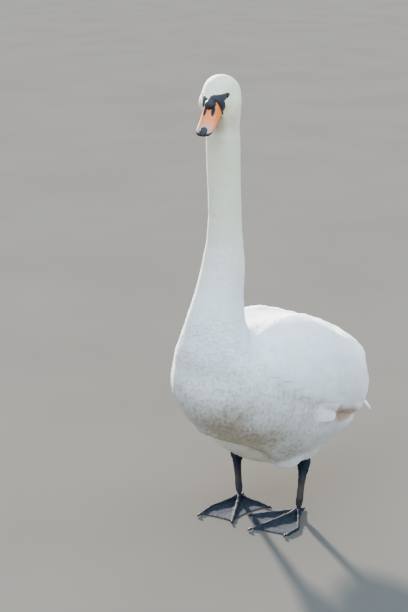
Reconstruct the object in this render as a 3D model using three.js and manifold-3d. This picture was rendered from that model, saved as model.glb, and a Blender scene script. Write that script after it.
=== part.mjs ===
// An adult mute swan that stands on both feet with its neck straight up.
// Millimetres. The swan faces -Y, its left side is +X and up is +Z.
import * as THREE from 'three';
import { mergeVertices } from 'three/addons/utils/BufferGeometryUtils.js';
import Module from 'manifold-3d';

const wasm = await Module();
wasm.setup();

// Driving dimensions
const gap = 0.3; // between two touching pieces
const trunk = {
  front: [-317, 440], // y and z of the foremost point of the breast
  rear: [360, 272], // y and z of the rump
  halfWidth: 173,
  rise: 168, // from the axis to the back
  drop: 222, // from the axis to the belly
};
const wing = { proud: 7, depth: 9, around: 24, along: 15 };
const flank = { centre: [58, -5, 190], radii: [46, 70, 59] };
const neck = {
  foot: 400,
  top: 1082,
  radius: 37,
  flare: 132,
  cuts: [[535, 22], [780, 0], [1002, 0]], // height and backward tilt
};
const head = { gape: [1, -241, 1034], tilt: 26, turn: 17.5, halfWidth: 37, crown: 34.5 };
const cheek = { centre: [19, 44, 3], radii: [23, 31, 28] };
const eye = { radius: 6.2, place: [22.8, 28, 28] };
const bill = { length: 80, halfWidth: 20, baseHeight: 34 };
const knob = { radius: 10.5, place: [0, -10, 33] };
const tail = { length: 205, halfWidth: 62, thickness: 17 };
// turn is how far a foot points inwards.
// A toe is its length, its angle to the middle toe and how much it bows outwards half way.
const legs = {
  left: {
    hip: [76, 26, 235],
    ankle: [60, 66, 116],
    heel: [81, 14, 17],
    turn: 19,
    toes: { outer: [122, 36, 2], middle: [151, 0, 0], inner: [122, -27, 0.5], hind: [24, -165, 0] },
    web: [0.48, 0.5],
  },
  right: {
    hip: [-84, 14, 240],
    ankle: [-108, 8, 121],
    heel: [-81, -14, 17],
    turn: 27,
    toes: { outer: [137, 39, 0.9], middle: [126, 0, 0], inner: [91, -66, 0.3], hind: [24, -165, 0] },
    web: [0.47, 0.37],
  },
};
const foot = {
  webThickness: 4.6,
  toeRadius: 5.8,
  clawLength: 13,
};

const paint = {
  plumage: { color: 0xf2f1ea, roughness: 0.85, metalness: 0 },
  bill: { color: 0xe8823a, roughness: 0.45, metalness: 0 },
  black: { color: 0x17181c, roughness: 0.4, metalness: 0 },
  eye: { color: 0x120c08, roughness: 0.08, metalness: 0 },
  legSkin: { color: 0x2a2d31, roughness: 0.6, metalness: 0 },
  claw: { color: 0x141414, roughness: 0.4, metalness: 0 },
};

const radians = THREE.MathUtils.degToRad;
const sides = Object.entries({ left: 1, right: -1 });

// A closed geometry as a solid that can be joined and cut
function solid(geometry) {
  const bare = geometry.clone();
  bare.deleteAttribute('normal');
  bare.deleteAttribute('uv');
  const merged = mergeVertices(bare, 1e-3);
  return new wasm.Manifold(new wasm.Mesh({
    numProp: 3,
    vertProperties: new Float32Array(merged.attributes.position.array),
    triVerts: new Uint32Array(merged.index.array),
  }));
}

// A smooth function through rows of [t, value, value, ...]
function smooth(rows) {
  const times = rows.map(row => row[0]);
  const values = rows.flatMap(row => row.slice(1));
  const curve = new THREE.CubicInterpolant(times, values, rows[0].length - 1);
  return t => [...curve.evaluate(t)];
}

// A rounded body through rows of [t, x, y, z, half width, height above, depth below].
// caps are the shares of its length over which the two ends round off.
function loft(rows, { around = 20, along = 12, caps = [0.1, 0.1], power = 1, grow = 0, reshape } = {}) {
  const row = smooth(rows);
  const geometry = new THREE.SphereGeometry(1, around, along);
  const points = geometry.attributes.position;
  const across = new THREE.Vector3(1, 0, 0);
  const square = value => Math.sign(value) * Math.abs(value) ** power;
  for (let i = 0; i < points.count; i++) {
    const t = (1 - points.getY(i)) / 2;
    const angle = Math.atan2(-points.getZ(i), points.getX(i));
    const ends = Math.min(1, t / caps[0], (1 - t) / caps[1]);
    const round = Math.sqrt(Math.max(0, 1 - (1 - ends) ** 2));
    const [x, y, z, side, up, down] = row(t);
    const before = new THREE.Vector3(...row(Math.max(0, t - 0.01)));
    const after = new THREE.Vector3(...row(Math.min(1, t + 0.01)));
    const travel = after.sub(before).normalize();
    const rise = new THREE.Vector3().crossVectors(across, travel).normalize();
    const wide = (side + grow) * round * square(Math.cos(angle));
    const high = (Math.sin(angle) > 0 ? up + grow : down + grow) * round * square(Math.sin(angle));
    const point = new THREE.Vector3(x, y, z).addScaledVector(across, wide).addScaledVector(rise, high);
    point.addScaledVector(travel, ends < 1 ? grow * (t < 0.5 ? -1 : 1) * (1 - round) : 0);
    if (reshape) reshape(point, t, angle);
    points.setXYZ(i, point.x, point.y, point.z);
  }
  return solid(geometry);
}

function ball(centre, radii, around = 16, along = 10) {
  const geometry = new THREE.SphereGeometry(1, around, along);
  geometry.scale(...radii);
  geometry.translate(...centre);
  return solid(geometry);
}

// A flat outline as a plate of one thickness, turned into its plane
function plate(shape, depth, turnTo) {
  const geometry = new THREE.ExtrudeGeometry(shape, { depth, bevelEnabled: false, curveSegments: 6 });
  geometry.applyMatrix4(turnTo);
  return solid(geometry);
}

const mirrored = (piece, sign) => (sign > 0 ? piece : piece.mirror([1, 0, 0]));
const largest = piece => piece.decompose().sort((a, b) => b.volume() - a.volume())[0];

// Trunk with the wings on it: one smooth hull, which grows or shrinks by a given amount
const trunkAt = (share, side, up, down) => [
  share,
  0,
  THREE.MathUtils.lerp(trunk.front[0], trunk.rear[0], share),
  THREE.MathUtils.lerp(trunk.front[1], trunk.rear[1], share),
  trunk.halfWidth * side,
  trunk.rise * up,
  trunk.drop * down,
];
const trunkRows = [
  trunkAt(0, 0.58, 0.6, 0.42),
  trunkAt(0.09, 0.7, 0.7, 0.47),
  trunkAt(0.24, 0.88, 0.93, 0.74),
  trunkAt(0.455, 1, 1, 1),
  trunkAt(0.6, 0.98, 0.93, 0.98),
  trunkAt(0.75, 0.89, 0.78, 0.89),
  trunkAt(0.85, 0.74, 0.57, 0.63),
  trunkAt(0.93, 0.47, 0.36, 0.24),
  trunkAt(1, 0.26, 0.2, 0.12),
];
// The back lies lower between the two folded wings
function backGroove(point, t) {
  const above = Math.max(0, point.z - trunk.front[1]) / trunk.rise;
  point.z -= 24 * above * Math.exp(-((point.x / 34) ** 2)) * Math.sin(Math.PI * t);
}
const hull = grow => loft(trunkRows, {
  around: wing.around, along: wing.along, caps: [0.14, 0.06], grow, reshape: backGroove,
});

// A soft bulge of the flank hangs over the top of each leg
const flankSolid = (sign, grow) => ball(
  [sign * flank.centre[0], flank.centre[1], flank.centre[2]], flank.radii.map(radius => radius + grow), 12, 8);

// Neck: straight up from the breast, flaring at its foot
const neckRows = [
  [0, 0, -178, neck.foot, neck.flare, neck.flare, neck.flare],
  [0.08, 0, -203, 455, 116, 114, 112],
  [0.18, 0, -230, 525, 84, 86, 84],
  [0.26, 0, -229, 580, 66, 68, 66],
  [0.36, 0, -213, 648, 51, 53, 51],
  [0.46, 0, -200, 716, 43, 44, 42],
  [0.58, 0, -197, 799, neck.radius, neck.radius, neck.radius],
  [0.8, -2, -202, 950, neck.radius, neck.radius, neck.radius],
  [0.92, -1, -203, 1025, neck.radius, neck.radius, neck.radius],
  [1, 2, -196, neck.top, neck.radius - 1, neck.radius - 3, neck.radius - 4],
];
const neckSolid = loft(neckRows, { around: 18, along: 18, caps: [0.02, 0.07] });

// Head and bill are made level, with the gape at the origin, and then turned into place
const headMatrix = new THREE.Matrix4()
  .makeTranslation(...head.gape)
  .multiply(new THREE.Matrix4().makeRotationZ(radians(head.turn)))
  .multiply(new THREE.Matrix4().makeRotationX(radians(head.tilt)));
const intoHead = piece => piece.transform(headMatrix.elements);

const headRows = [
  [0, 0, -7, 16, 17, 17, 14],
  [0.15, 0, 8, 17, 0.7 * head.halfWidth, 24, 20],
  [0.35, 0, 26, 18, 0.81 * head.halfWidth, 0.86 * head.crown, 28],
  [0.52, 0, 42, 18, 0.93 * head.halfWidth, head.crown, 32],
  [0.72, 0, 62, 15, 1.04 * head.halfWidth, head.crown, 36],
  [0.88, 0, 79, 8, 1.1 * head.halfWidth, 0.98 * head.crown, 37],
  [1, 0, 93, 4, 0.95 * head.halfWidth, 0.8 * head.crown, 30],
];
const cheekSolid = sign => ball([sign * cheek.centre[0], cheek.centre[1], cheek.centre[2]], cheek.radii, 12, 8);
const skull = intoHead(loft(headRows, { around: 16, along: 12, caps: [0.08, 0.25] })
  .add(cheekSolid(1))
  .add(cheekSolid(-1)));

const billUpper = grow => loft([
  [0, 0, -bill.length, 1, 0.6 * bill.halfWidth, 3.5, 1.5],
  [0.12, 0, -74, 0, 0.84 * bill.halfWidth, 7, 1.5],
  [0.3, 0, -61, 0, 0.97 * bill.halfWidth, 10, 1.5],
  [0.5, 0, -43, 0, 0.97 * bill.halfWidth, 14, 1.5],
  [0.7, 0, -25, 0, 0.97 * bill.halfWidth, 21, 1.5],
  [0.85, 0, -9, 0, 0.97 * bill.halfWidth, 29, 1.5],
  [1, 0, 10, 0, 0.75 * bill.halfWidth, bill.baseHeight, 1.5],
], { around: 12, along: 9, caps: [0.1, 0.02], power: 0.85, grow });
const billLower = grow => loft([
  [0, 0, -75, -2.2, 9, 1, 3],
  [0.2, 0, -62, -2.2, 15, 1, 6],
  [0.6, 0, -30, -2.2, 14, 1, 9],
  [1, 0, 12, -2.2, 13, 1, 11],
], { around: 12, along: 8, caps: [0.1, 0.02], grow });
const nailSolid = grow => ball([0, -70, 5.5], [9 + grow, 12 + grow, 4.6 + grow], 12, 6);
const knobSolid = grow => ball(knob.place, [knob.radius + grow, knob.radius + grow, knob.radius + grow], 12, 7);
const eyeSolid = (sign, grow) => {
  const radius = eye.radius + grow;
  return ball([sign * eye.place[0], eye.place[1], eye.place[2]], [radius, radius, radius], 10, 7);
};

// Wings: what the hull holds inside the wing's outline, down to a core that is left to the trunk
const sideOutline = new THREE.Shape();
sideOutline.moveTo(-196, 640);
sideOutline.lineTo(-200, 470);
sideOutline.bezierCurveTo(-190, 410, -120, 385, -83, 366);
sideOutline.bezierCurveTo(-20, 335, 30, 300, 110, 286);
sideOutline.bezierCurveTo(180, 276, 250, 276, 330, 290);
sideOutline.lineTo(420, 300);
sideOutline.lineTo(420, 640);
sideOutline.closePath();
const planOutline = new THREE.Shape();
planOutline.moveTo(84, -260);
planOutline.bezierCurveTo(60, -120, 34, 60, 5, 190);
planOutline.lineTo(5, 420);
planOutline.lineTo(300, 420);
planOutline.lineTo(300, -260);
planOutline.closePath();
const sideWays = new THREE.Matrix4().makeBasis(
  new THREE.Vector3(0, 1, 0), new THREE.Vector3(0, 0, 1), new THREE.Vector3(1, 0, 0));
const wingRegion = plate(sideOutline, 300, sideWays).intersect(
  plate(planOutline, 700, new THREE.Matrix4().makeTranslation(0, 0, 50)));
const wingTip = loft([
  [0, 66, 200, 378, 40, 9, 9],
  [0.4, 52, 290, 338, 36, 7, 7],
  [0.75, 37, 370, 302, 23, 5, 5],
  [1, 24, 430, 278, 11, 2.5, 2.5],
], { around: 12, along: 8, caps: [0.1, 0.12] });
const core = hull(-wing.depth);
const leftWing = hull(wing.proud).intersect(wingRegion).add(wingTip);
const tailSolid = grow => loft([
  [0, 0, 255, 300, 50, 24, 60],
  [0.35, 0, 330, 272, tail.halfWidth, tail.thickness, 30],
  [0.7, 0, 405, 248, 0.8 * tail.halfWidth, 8, 10],
  [1, 0, 255 + tail.length + 20, 226, 0.2 * tail.halfWidth, 2, 2.5],
], { around: 14, along: 10, caps: [0.1, 0.05], grow });

// Legs
const between = (a, b, share) => a.map((value, i) => THREE.MathUtils.lerp(value, b[i], share));
const thigh = ({ hip, ankle }) => loft([
  [0, ...hip, 58, 92, 72],
  [0.35, ...between(hip, ankle, 0.42), 50, 78, 58],
  [0.6, ...between(hip, ankle, 0.68), 37, 52, 42],
  [0.82, ...between(hip, ankle, 0.87), 21, 26, 24],
  [1, ...ankle, 12, 12, 13],
], { around: 16, along: 10, caps: [0.3, 0.06] });
const shank = ({ ankle, heel }, grow) => loft([
  [0, ...between(ankle, heel, -0.14), 12, 12, 12],
  [0.12, ...ankle, 15.5, 16, 15],
  [0.34, ...between(ankle, heel, 0.24), 9.5, 11, 11],
  [0.6, ...between(ankle, heel, 0.55), 6.5, 8.5, 8.5],
  [0.9, ...between(ankle, heel, 0.9), 7.5, 9, 9],
  [1, ...between(ankle, heel, 1.04), 8, 8, 8],
], { around: 10, along: 12, caps: [0.1, 0.1], grow });

// A foot is made with its heel at the origin, pointing to -Y
const toeTip = ([length, angle], height) => {
  const turn = radians(angle);
  return [length * Math.sin(turn), -length * Math.cos(turn), height];
};
const alongToe = ([length, angle, bow], share, height) => (
  toeTip([length * share, angle * (1 + bow * share * (1 - share))], height));
function toeRows(toe) {
  const at = (share, height) => alongToe(toe, share, height);
  const r = foot.toeRadius;
  return [
    [0, ...at(-0.03, 13), r, r, r],
    [0.25, ...at(0.22, 9), 0.95 * r, r, r],
    [0.6, ...at(0.6, 5.5), 0.8 * r, 0.85 * r, r],
    [1, ...at(1, 3.4), 0.6 * r, 0.6 * r, r],
  ];
}
function webShape(toes, web) {
  const order = [toes.outer, toes.middle, toes.inner].map(toe => alongToe(toe, 0.94, 0));
  const shape = new THREE.Shape();
  const lineTo = ([x, y]) => shape.lineTo(x, y);
  shape.moveTo(7, 6);
  for (const share of [0.3, 0.6, 0.94]) lineTo(alongToe(toes.outer, share, 0));
  for (let i = 1; i < order.length; i++) {
    const [ax, ay] = order[i - 1];
    const [bx, by] = order[i];
    shape.quadraticCurveTo((ax + bx) * web[i - 1], (ay + by) * web[i - 1], bx, by);
  }
  for (const share of [0.6, 0.3]) lineTo(alongToe(toes.inner, share, 0));
  shape.lineTo(-7, 6);
  shape.closePath();
  return shape;
}
const flat = piece => piece.trimByPlane([0, 0, 1], 0);
const footSolid = limb => {
  const web = plate(webShape(limb.toes, limb.web), foot.webThickness, new THREE.Matrix4());
  const toeSolid = toe => loft(toeRows(toe), { around: 7, along: 5, caps: [0.06, 0.05] });
  const toes = Object.values(limb.toes).map(toeSolid);
  return flat(toes.reduce((whole, toe) => whole.add(toe), web));
};
const clawSolid = ([length, angle]) => {
  const base = toeTip([length - 4, angle], 4.2);
  const tip = toeTip([length + foot.clawLength - 4, angle], 2.2);
  return flat(loft([
    [0, ...base, 3, 3, 3],
    [0.5, ...between(base, tip, 0.5), 2.7, 3.2, 2.6],
    [1, ...tip, 1.2, 1, 1.2],
  ], { around: 6, along: 4, caps: [0.1, 0.2] }));
};
const footMatrix = ({ heel, turn }, sign) => new THREE.Matrix4()
  .makeTranslation(heel[0], heel[1], 0)
  .multiply(new THREE.Matrix4().makeRotationZ(radians(-turn * sign)));

// The scene graph
const swan = new THREE.Group();
swan.name = 'mute_swan';
function show(name, piece, look) {
  const { vertProperties, triVerts, numProp } = piece.getMesh();
  const geometry = new THREE.BufferGeometry();
  const place = new Float32Array((vertProperties.length / numProp) * 3);
  for (let i = 0; i < place.length; i++) place[i] = vertProperties[Math.floor(i / 3) * numProp + (i % 3)];
  geometry.setAttribute('position', new THREE.BufferAttribute(place, 3));
  geometry.setIndex(new THREE.BufferAttribute(new Uint32Array(triVerts), 1));
  geometry.computeVertexNormals();
  const mesh = new THREE.Mesh(geometry, new THREE.MeshStandardMaterial(look));
  mesh.name = name;
  swan.add(mesh);
}

const wingRoom = wingRegion.add(wingRegion.translate([-gap, -gap, -gap]));
const flesh = hull(0).subtract(wingRoom).subtract(mirrored(wingRoom, -1))
  .add(core).add(neckSolid).add(skull).add(flankSolid(1, 0)).add(flankSolid(-1, 0));
// A cut across the neck, at a height of its axis, sloping up towards the back by a tilt
function cutNeck(piece, [height, tilt], side) {
  const normal = new THREE.Vector3(0, -Math.sin(radians(tilt)), Math.cos(radians(tilt))).multiplyScalar(side);
  return piece.trimByPlane(normal.toArray(), normal.dot(new THREE.Vector3(0, -200, height)) + gap / 2);
}
const above = (piece, cut) => cutNeck(piece, cut, 1);
const below = (piece, cut) => cutNeck(piece, cut, -1);
const [neckCut, midNeckCut, headCut] = neck.cuts;

// Head, bill and eyes
const billParts = {
  bill_nail: [intoHead(nailSolid(0)), paint.black],
  bill_upper: [intoHead(billUpper(0).subtract(nailSolid(gap))), paint.bill],
  bill_lower: [intoHead(billLower(0).subtract(billUpper(gap)).subtract(nailSolid(gap))), paint.black],
  bill_knob: [intoHead(knobSolid(0).subtract(billUpper(gap))), paint.black],
};
const cutAll = (piece, cuts) => cuts.reduce((rest, cut) => rest.subtract(cut), piece);
const sockets = [billUpper(gap), billLower(gap), knobSolid(gap), eyeSolid(1, gap), eyeSolid(-1, gap)];
show('head', largest(cutAll(above(flesh, headCut), sockets.map(intoHead))), paint.plumage);
for (const [name, [piece, look]] of Object.entries(billParts)) show(name, largest(piece), look);
for (const [name, sign] of sides) show(`eye_${name}`, intoHead(eyeSolid(sign, 0)), paint.eye);

// Neck and trunk
show('neck_upper', above(below(flesh, headCut), midNeckCut), paint.plumage);
show('neck_lower', above(below(flesh, midNeckCut), neckCut), paint.plumage);
show('trunk', largest(below(flesh, neckCut).subtract(tailSolid(gap))), paint.plumage);
show('tail', largest(tailSolid(0)), paint.plumage);

// Wings, legs and feet
const trunkSolid = hull(gap).add(flankSolid(1, gap)).add(flankSolid(-1, gap));
const coreSolid = hull(gap - wing.depth);
for (const [name, sign] of sides) {
  const shell = cutAll(mirrored(leftWing, sign), [coreSolid, neckSolid, tailSolid(gap)]);
  show(`wing_${name}`, largest(shell), paint.plumage);

  const limb = legs[name];
  show(`thigh_${name}`, largest(thigh(limb).subtract(shank(limb, gap)).subtract(trunkSolid)), paint.plumage);
  show(`leg_${name}`, shank(limb, 0), paint.legSkin);

  const place = footMatrix(limb, sign).elements;
  const put = piece => mirrored(piece, sign).transform(place);
  const claws = Object.entries(limb.toes).map(([toe, size]) => [toe, clawSolid(size)]);
  const web = cutAll(footSolid(limb), claws.map(([, claw]) => claw));
  show(`foot_${name}`, largest(put(web).subtract(shank(limb, gap))), paint.legSkin);
  for (const [toe, claw] of claws) show(`claw_${name}_${toe}`, put(claw), paint.claw);
}

// The origin is on the floor, below the middle of the whole swan
const extent = new THREE.Box3().setFromObject(swan);
const middle = extent.getCenter(new THREE.Vector3());
swan.position.set(-middle.x, -middle.y, -extent.min.z);

export default swan;
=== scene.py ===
import math
import bpy
import numpy as np
from mathutils import Euler, Matrix, Vector, kdtree
from mathutils.bvhtree import BVHTree


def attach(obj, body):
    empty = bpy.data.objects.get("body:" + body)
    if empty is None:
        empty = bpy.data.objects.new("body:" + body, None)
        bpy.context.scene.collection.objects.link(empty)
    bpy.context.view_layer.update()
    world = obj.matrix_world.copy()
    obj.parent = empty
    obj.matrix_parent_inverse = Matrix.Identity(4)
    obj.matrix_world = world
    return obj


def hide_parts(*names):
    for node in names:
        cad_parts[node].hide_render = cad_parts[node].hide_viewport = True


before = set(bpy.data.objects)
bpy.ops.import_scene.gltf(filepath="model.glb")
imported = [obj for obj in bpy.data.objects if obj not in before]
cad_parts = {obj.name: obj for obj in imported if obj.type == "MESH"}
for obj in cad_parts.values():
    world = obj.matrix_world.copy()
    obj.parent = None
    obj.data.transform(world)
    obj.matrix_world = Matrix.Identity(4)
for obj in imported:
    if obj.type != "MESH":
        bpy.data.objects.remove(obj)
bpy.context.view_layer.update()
print("frame loaded")

dice = np.random.default_rng(11)
bothSides = (("left", 1), ("right", -1))


def unit(vectors):
    return vectors / np.maximum(np.linalg.norm(vectors, axis=-1, keepdims=True), 1e-9)


def dot(first, second):
    return (first * second).sum(axis=-1)


def ease(values, low, high):
    # 0 below low, 1 above high, soft between
    if isinstance(values, Wire):
        return values.soft(low, high)
    t = np.clip((values - low) / (high - low), 0.0, 1.0)
    return t * t * (3.0 - 2.0 * t)


def hump(values, middle, width):
    # 1 at the middle, falling off softly to both sides
    return np.exp(-((values - middle) / width) ** 2)


def blend(values, target, share):
    return values + (target - values) * share


def ripple(points, size, seed):
    # a smooth random field, about -1 to 1, whose waves are about size long
    waves = np.random.default_rng(seed)
    total = np.zeros(len(points))
    for _ in range(10):
        way = unit(waves.normal(size=3)) * (2 * math.pi / size) * waves.uniform(0.6, 1.5)
        total += np.sin(points @ way + waves.uniform(0, 6.28))
    return total / 3.2


def startFresh():
    if bpy.context.object and bpy.context.object.mode != "OBJECT":
        bpy.ops.object.mode_set(mode="OBJECT")
    bpy.ops.object.select_all(action="DESELECT")


def pick(piece):
    startFresh()
    piece.select_set(True)
    bpy.context.view_layer.objects.active = piece
    return piece


def editAll(piece):
    # edit mode, with all of the piece selected
    pick(piece)
    bpy.ops.object.mode_set(mode="EDIT")
    bpy.ops.mesh.select_all(action="SELECT")


def leaveEdit():
    bpy.ops.object.mode_set(mode="OBJECT")


def editWhere(piece, test):
    # edit mode, with only the vertices whose places pass a test selected
    editAll(piece)
    bpy.ops.mesh.select_mode(type="VERT")
    bpy.ops.mesh.select_all(action="DESELECT")
    leaveEdit()
    for vertex in piece.data.vertices:
        vertex.select = test(vertex.co)
    bpy.ops.object.mode_set(mode="EDIT")


def mergeClose(piece, reach):
    editAll(piece)
    bpy.ops.mesh.remove_doubles(threshold=reach)
    leaveEdit()


def faceOutwards(piece):
    editAll(piece)
    bpy.ops.mesh.normals_make_consistent(inside=False)
    leaveEdit()


def finishModifiers(piece):
    pick(piece)
    for modifier in list(piece.modifiers):
        bpy.ops.object.modifier_apply(modifier=modifier.name)


def settle(piece):
    # place and turn go into the mesh, so the object ends at the origin
    pick(piece)
    bpy.ops.object.transform_apply(location=True, rotation=True, scale=True)
    return piece


def shadeSoft(piece, angle=None):
    pick(piece)
    if angle is None:
        bpy.ops.object.shade_smooth()
    else:
        bpy.ops.object.shade_smooth_by_angle(angle=math.radians(angle))


def valuesOf(items, name, width, kind=float):
    # one row of values for each vertex, face or loop
    values = np.empty(len(items) * width, dtype=kind)
    items.foreach_get(name, values)
    return values.reshape(-1, width)


def vertexPlaces(mesh):
    return valuesOf(mesh.vertices, "co", 3)


def vertexNormals(mesh):
    return valuesOf(mesh.vertices, "normal", 3)


def addAttribute(mesh, name, values):
    mesh.attributes.new(name, "FLOAT", "POINT").data.foreach_set("value", values)


def addMap(mesh, name, spots):
    mesh.uv_layers.new(name=name).data.foreach_set("uv", spots.reshape(-1))


def movePlaces(mesh, places):
    mesh.vertices.foreach_set("co", places.reshape(-1))
    mesh.update()


def twinOf(source, name):
    twin = bpy.data.objects.new(name, source.data.copy())
    bpy.context.collection.objects.link(twin)
    return twin


def cadCopy(name, *nodes):
    # one new object from copies of CAD nodes, their loose triangles merged
    copies = [twinOf(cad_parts[node], f"{name}_{node}") for node in nodes]
    for copy in copies:
        copy.data.materials.clear()
    piece = joinPieces(name, copies)
    mergeClose(piece, 0.00002)
    return piece


def cutOff(piece, place, outwards, closed):
    # takes off all that lies outside a plane
    editAll(piece)
    bpy.ops.mesh.bisect(plane_co=place, plane_no=outwards, use_fill=closed, clear_outer=True)
    leaveEdit()


def joinPieces(name, pieces):
    startFresh()
    for piece in pieces:
        piece.select_set(True)
    bpy.context.view_layer.objects.active = pieces[0]
    if len(pieces) > 1:
        bpy.ops.object.join()
    whole = bpy.context.view_layer.objects.active
    whole.name = name
    whole.data.name = name
    return whole


def remeshed(piece, voxel, smoothing, factor=0.5):
    remesh = piece.modifiers.new("remesh", "REMESH")
    remesh.mode = "VOXEL"
    remesh.voxel_size = voxel
    finishModifiers(piece)
    smoothed(piece, smoothing, factor)
    return piece


def smoothed(piece, iterations, factor, weights=None):
    smooth = piece.modifiers.new("smooth", "SMOOTH")
    smooth.iterations = iterations
    smooth.factor = factor
    if weights is not None:
        group = piece.vertex_groups.new(name="smoothing")
        shares = np.round(weights, 2)
        for share in np.unique(shares):
            group.add(np.flatnonzero(shares == share).tolist(), float(share), "REPLACE")
        smooth.vertex_group = "smoothing"
    finishModifiers(piece)
    if weights is not None:
        piece.vertex_groups.clear()


# The head's own frame is level, faces -Y and has the gape at its origin.
headPose = {
    "gape": (0.001, -0.3218, 1.034),
    "tilt": 26,
    "turn": 17.5,
}
headTurn = Euler((math.radians(headPose["tilt"]), 0, math.radians(headPose["turn"])))
headMatrix = Matrix.Translation(headPose["gape"]) @ headTurn.to_matrix().to_4x4()
headSpin = np.array(headTurn.to_matrix())
headHome = np.array(headPose["gape"])


def intoHead(points):
    return (np.asarray(points) - headHome) @ headSpin


def outOfHead(points):
    return np.asarray(points) @ headSpin.T + headHome


def putOnHead(piece):
    settle(piece)
    piece.data.transform(headMatrix)
    piece.data.update()
    return piece


class Wire:
    # a node's output that can be used in sums
    def __init__(self, maker, socket):
        self.maker = maker
        self.socket = socket

    def sum(self, operation, *others):
        return self.maker.node("ShaderNodeMath", {"operation": operation}, [self, *others])

    def __add__(self, other):
        return self.sum("ADD", other)

    def __radd__(self, other):
        return self.sum("ADD", other)

    def __sub__(self, other):
        return self.sum("SUBTRACT", other)

    def __rsub__(self, other):
        return self.maker.node("ShaderNodeMath", {"operation": "SUBTRACT"}, [other, self])

    def __mul__(self, other):
        return self.sum("MULTIPLY", other)

    def __rmul__(self, other):
        return self.sum("MULTIPLY", other)

    def __neg__(self):
        return self.sum("MULTIPLY", -1.0)

    def __abs__(self):
        return self.sum("ABSOLUTE")

    def soft(self, low, high):
        # 0 at low, 1 at high, eased
        return self.maker.node("ShaderNodeMapRange", {"interpolation_type": "SMOOTHSTEP"},
                               {"Value": self, "From Min": low, "From Max": high})

    def part(self, name):
        return Wire(self.maker, self.socket.node.outputs[name])


def smaller(first, second):
    return first.sum("MINIMUM", second) if isinstance(first, Wire) else np.minimum(first, second)


def larger(first, second):
    return first.sum("MAXIMUM", second) if isinstance(first, Wire) else np.maximum(first, second)


class Finish:
    # a material whose nodes are made by one method
    def __init__(self, name):
        self.material = bpy.data.materials.new(name)
        self.material.use_nodes = True
        self.tree = self.material.node_tree
        self.tree.nodes.clear()

    def node(self, kind, settings=None, inputs=None, output=0):
        made = self.tree.nodes.new(kind)
        for key, value in (settings or {}).items():
            setattr(made, key, value)
        pairs = inputs.items() if isinstance(inputs, dict) else enumerate(inputs or [])
        for key, value in pairs:
            socket = made.inputs[key]
            if isinstance(value, Wire):
                self.tree.links.new(value.socket, socket)
            else:
                socket.default_value = value
        return Wire(self, made.outputs[output]) if made.outputs else None

    def place(self):
        return self.node("ShaderNodeTexCoord", output="Object")

    def attribute(self, name):
        return self.node("ShaderNodeAttribute", {"attribute_name": name}, output="Fac")

    def split(self, vector):
        parts = self.node("ShaderNodeSeparateXYZ", None, [vector])
        return parts, parts.part("Y"), parts.part("Z")

    def headPlace(self, folded=True):
        # the head's own frame, with its right side folded onto its left if asked
        pose = {"Vector": self.place(), "Location": headPose["gape"], "Rotation": tuple(headTurn)}
        level = self.node("ShaderNodeMapping", {"vector_type": "TEXTURE"}, pose)
        side, back, up = self.split(level)
        return self.node("ShaderNodeCombineXYZ", None, [abs(side), back, up]) if folded else level

    def noise(self, vector, scale, detail=2.0, roughness=0.5):
        return self.node("ShaderNodeTexNoise", None,
                         {"Vector": vector, "Scale": scale, "Detail": detail, "Roughness": roughness})

    def stretched(self, vector, scale):
        return self.node("ShaderNodeMapping", None, {"Vector": vector, "Scale": scale})

    def mix(self, factor, first, second):
        # inputs 6 and 7 and output 2 are the ones for colours
        return self.node("ShaderNodeMix", {"data_type": "RGBA"}, {0: factor, 6: first, 7: second}, output=2)

    def near(self, vector, centre, radius, softness=0.6):
        # 1 at a place, fading to 0 at a radius
        distance = self.node("ShaderNodeVectorMath", {"operation": "DISTANCE"}, [vector, centre],
                             output="Value")
        return 1.0 - distance.soft(radius * (1 - softness), radius)

    def within(self, vector, centre, radii, turn=(0, 0, 0), softness=0.3):
        # 1 inside a turned ellipsoid, fading to 0 at its surface
        local = self.node("ShaderNodeMapping", {"vector_type": "TEXTURE"},
                          {"Vector": vector, "Location": centre, "Rotation": turn, "Scale": radii})
        reach = self.node("ShaderNodeVectorMath", {"operation": "LENGTH"}, [local], output="Value")
        return 1.0 - reach.soft(1.0 - softness, 1.0)

    def bump(self, height, strength, distance):
        return self.node("ShaderNodeBump", None,
                         {"Strength": strength, "Distance": distance, "Height": height})

    def shade(self, **sockets):
        surface = self.node("ShaderNodeBsdfPrincipled", None,
                            {key.replace("_", " "): value for key, value in sockets.items()})
        self.node("ShaderNodeOutputMaterial", None, [surface])
        return self.material


def rgb(red, green, blue):
    return red, green, blue, 1.0


def loreEdge(side, back, up):
    # how far inside the bare black skin, from the bill's base to the eye, a place of the head's frame is
    side, far = abs(side), ease(-side, 0.001, 0.004)
    crown = smaller(0.0425 + 0.04 * back, 0.0450 - 0.36 * back) - up - 0.0048 * far
    band = 0.0025 + 0.295 * up - back - 0.0030 * far
    wedge = smaller(up - 0.0270, 0.0322 - back)
    forehead = 0.005 + 1.3 * side - back
    return smaller(smaller(crown, larger(band, wedge)), smaller(up + 0.001, forehead))


plumageSpec = {
    "shadeWhite": rgb(0.76, 0.765, 0.765),
    "brightWhite": rgb(0.84, 0.84, 0.825),
    "cream": rgb(0.80, 0.745, 0.49),
    # fawn stain at the throat and jowls, with painted shade of the crease under the jaw
    "throat": rgb(0.58, 0.46, 0.26),
    # the belly's cream, darkened as painted shade of the underside
    "belly": rgb(0.535, 0.465, 0.300),
    # painted shade and grime of the lower breast and belly
    "shadeAndGrime": rgb(0.265, 0.203, 0.122),
    "shadow": rgb(0.30, 0.22, 0.13),
    # rust-brown stain behind the flank, deepened as painted shade under the wing's edge
    "rustAndShade": rgb(0.33, 0.16, 0.055),
    "peach": rgb(0.60, 0.45, 0.33),
    "lore": rgb(0.012, 0.013, 0.017),
    "rib": rgb(0.90, 0.88, 0.82),
}
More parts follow.
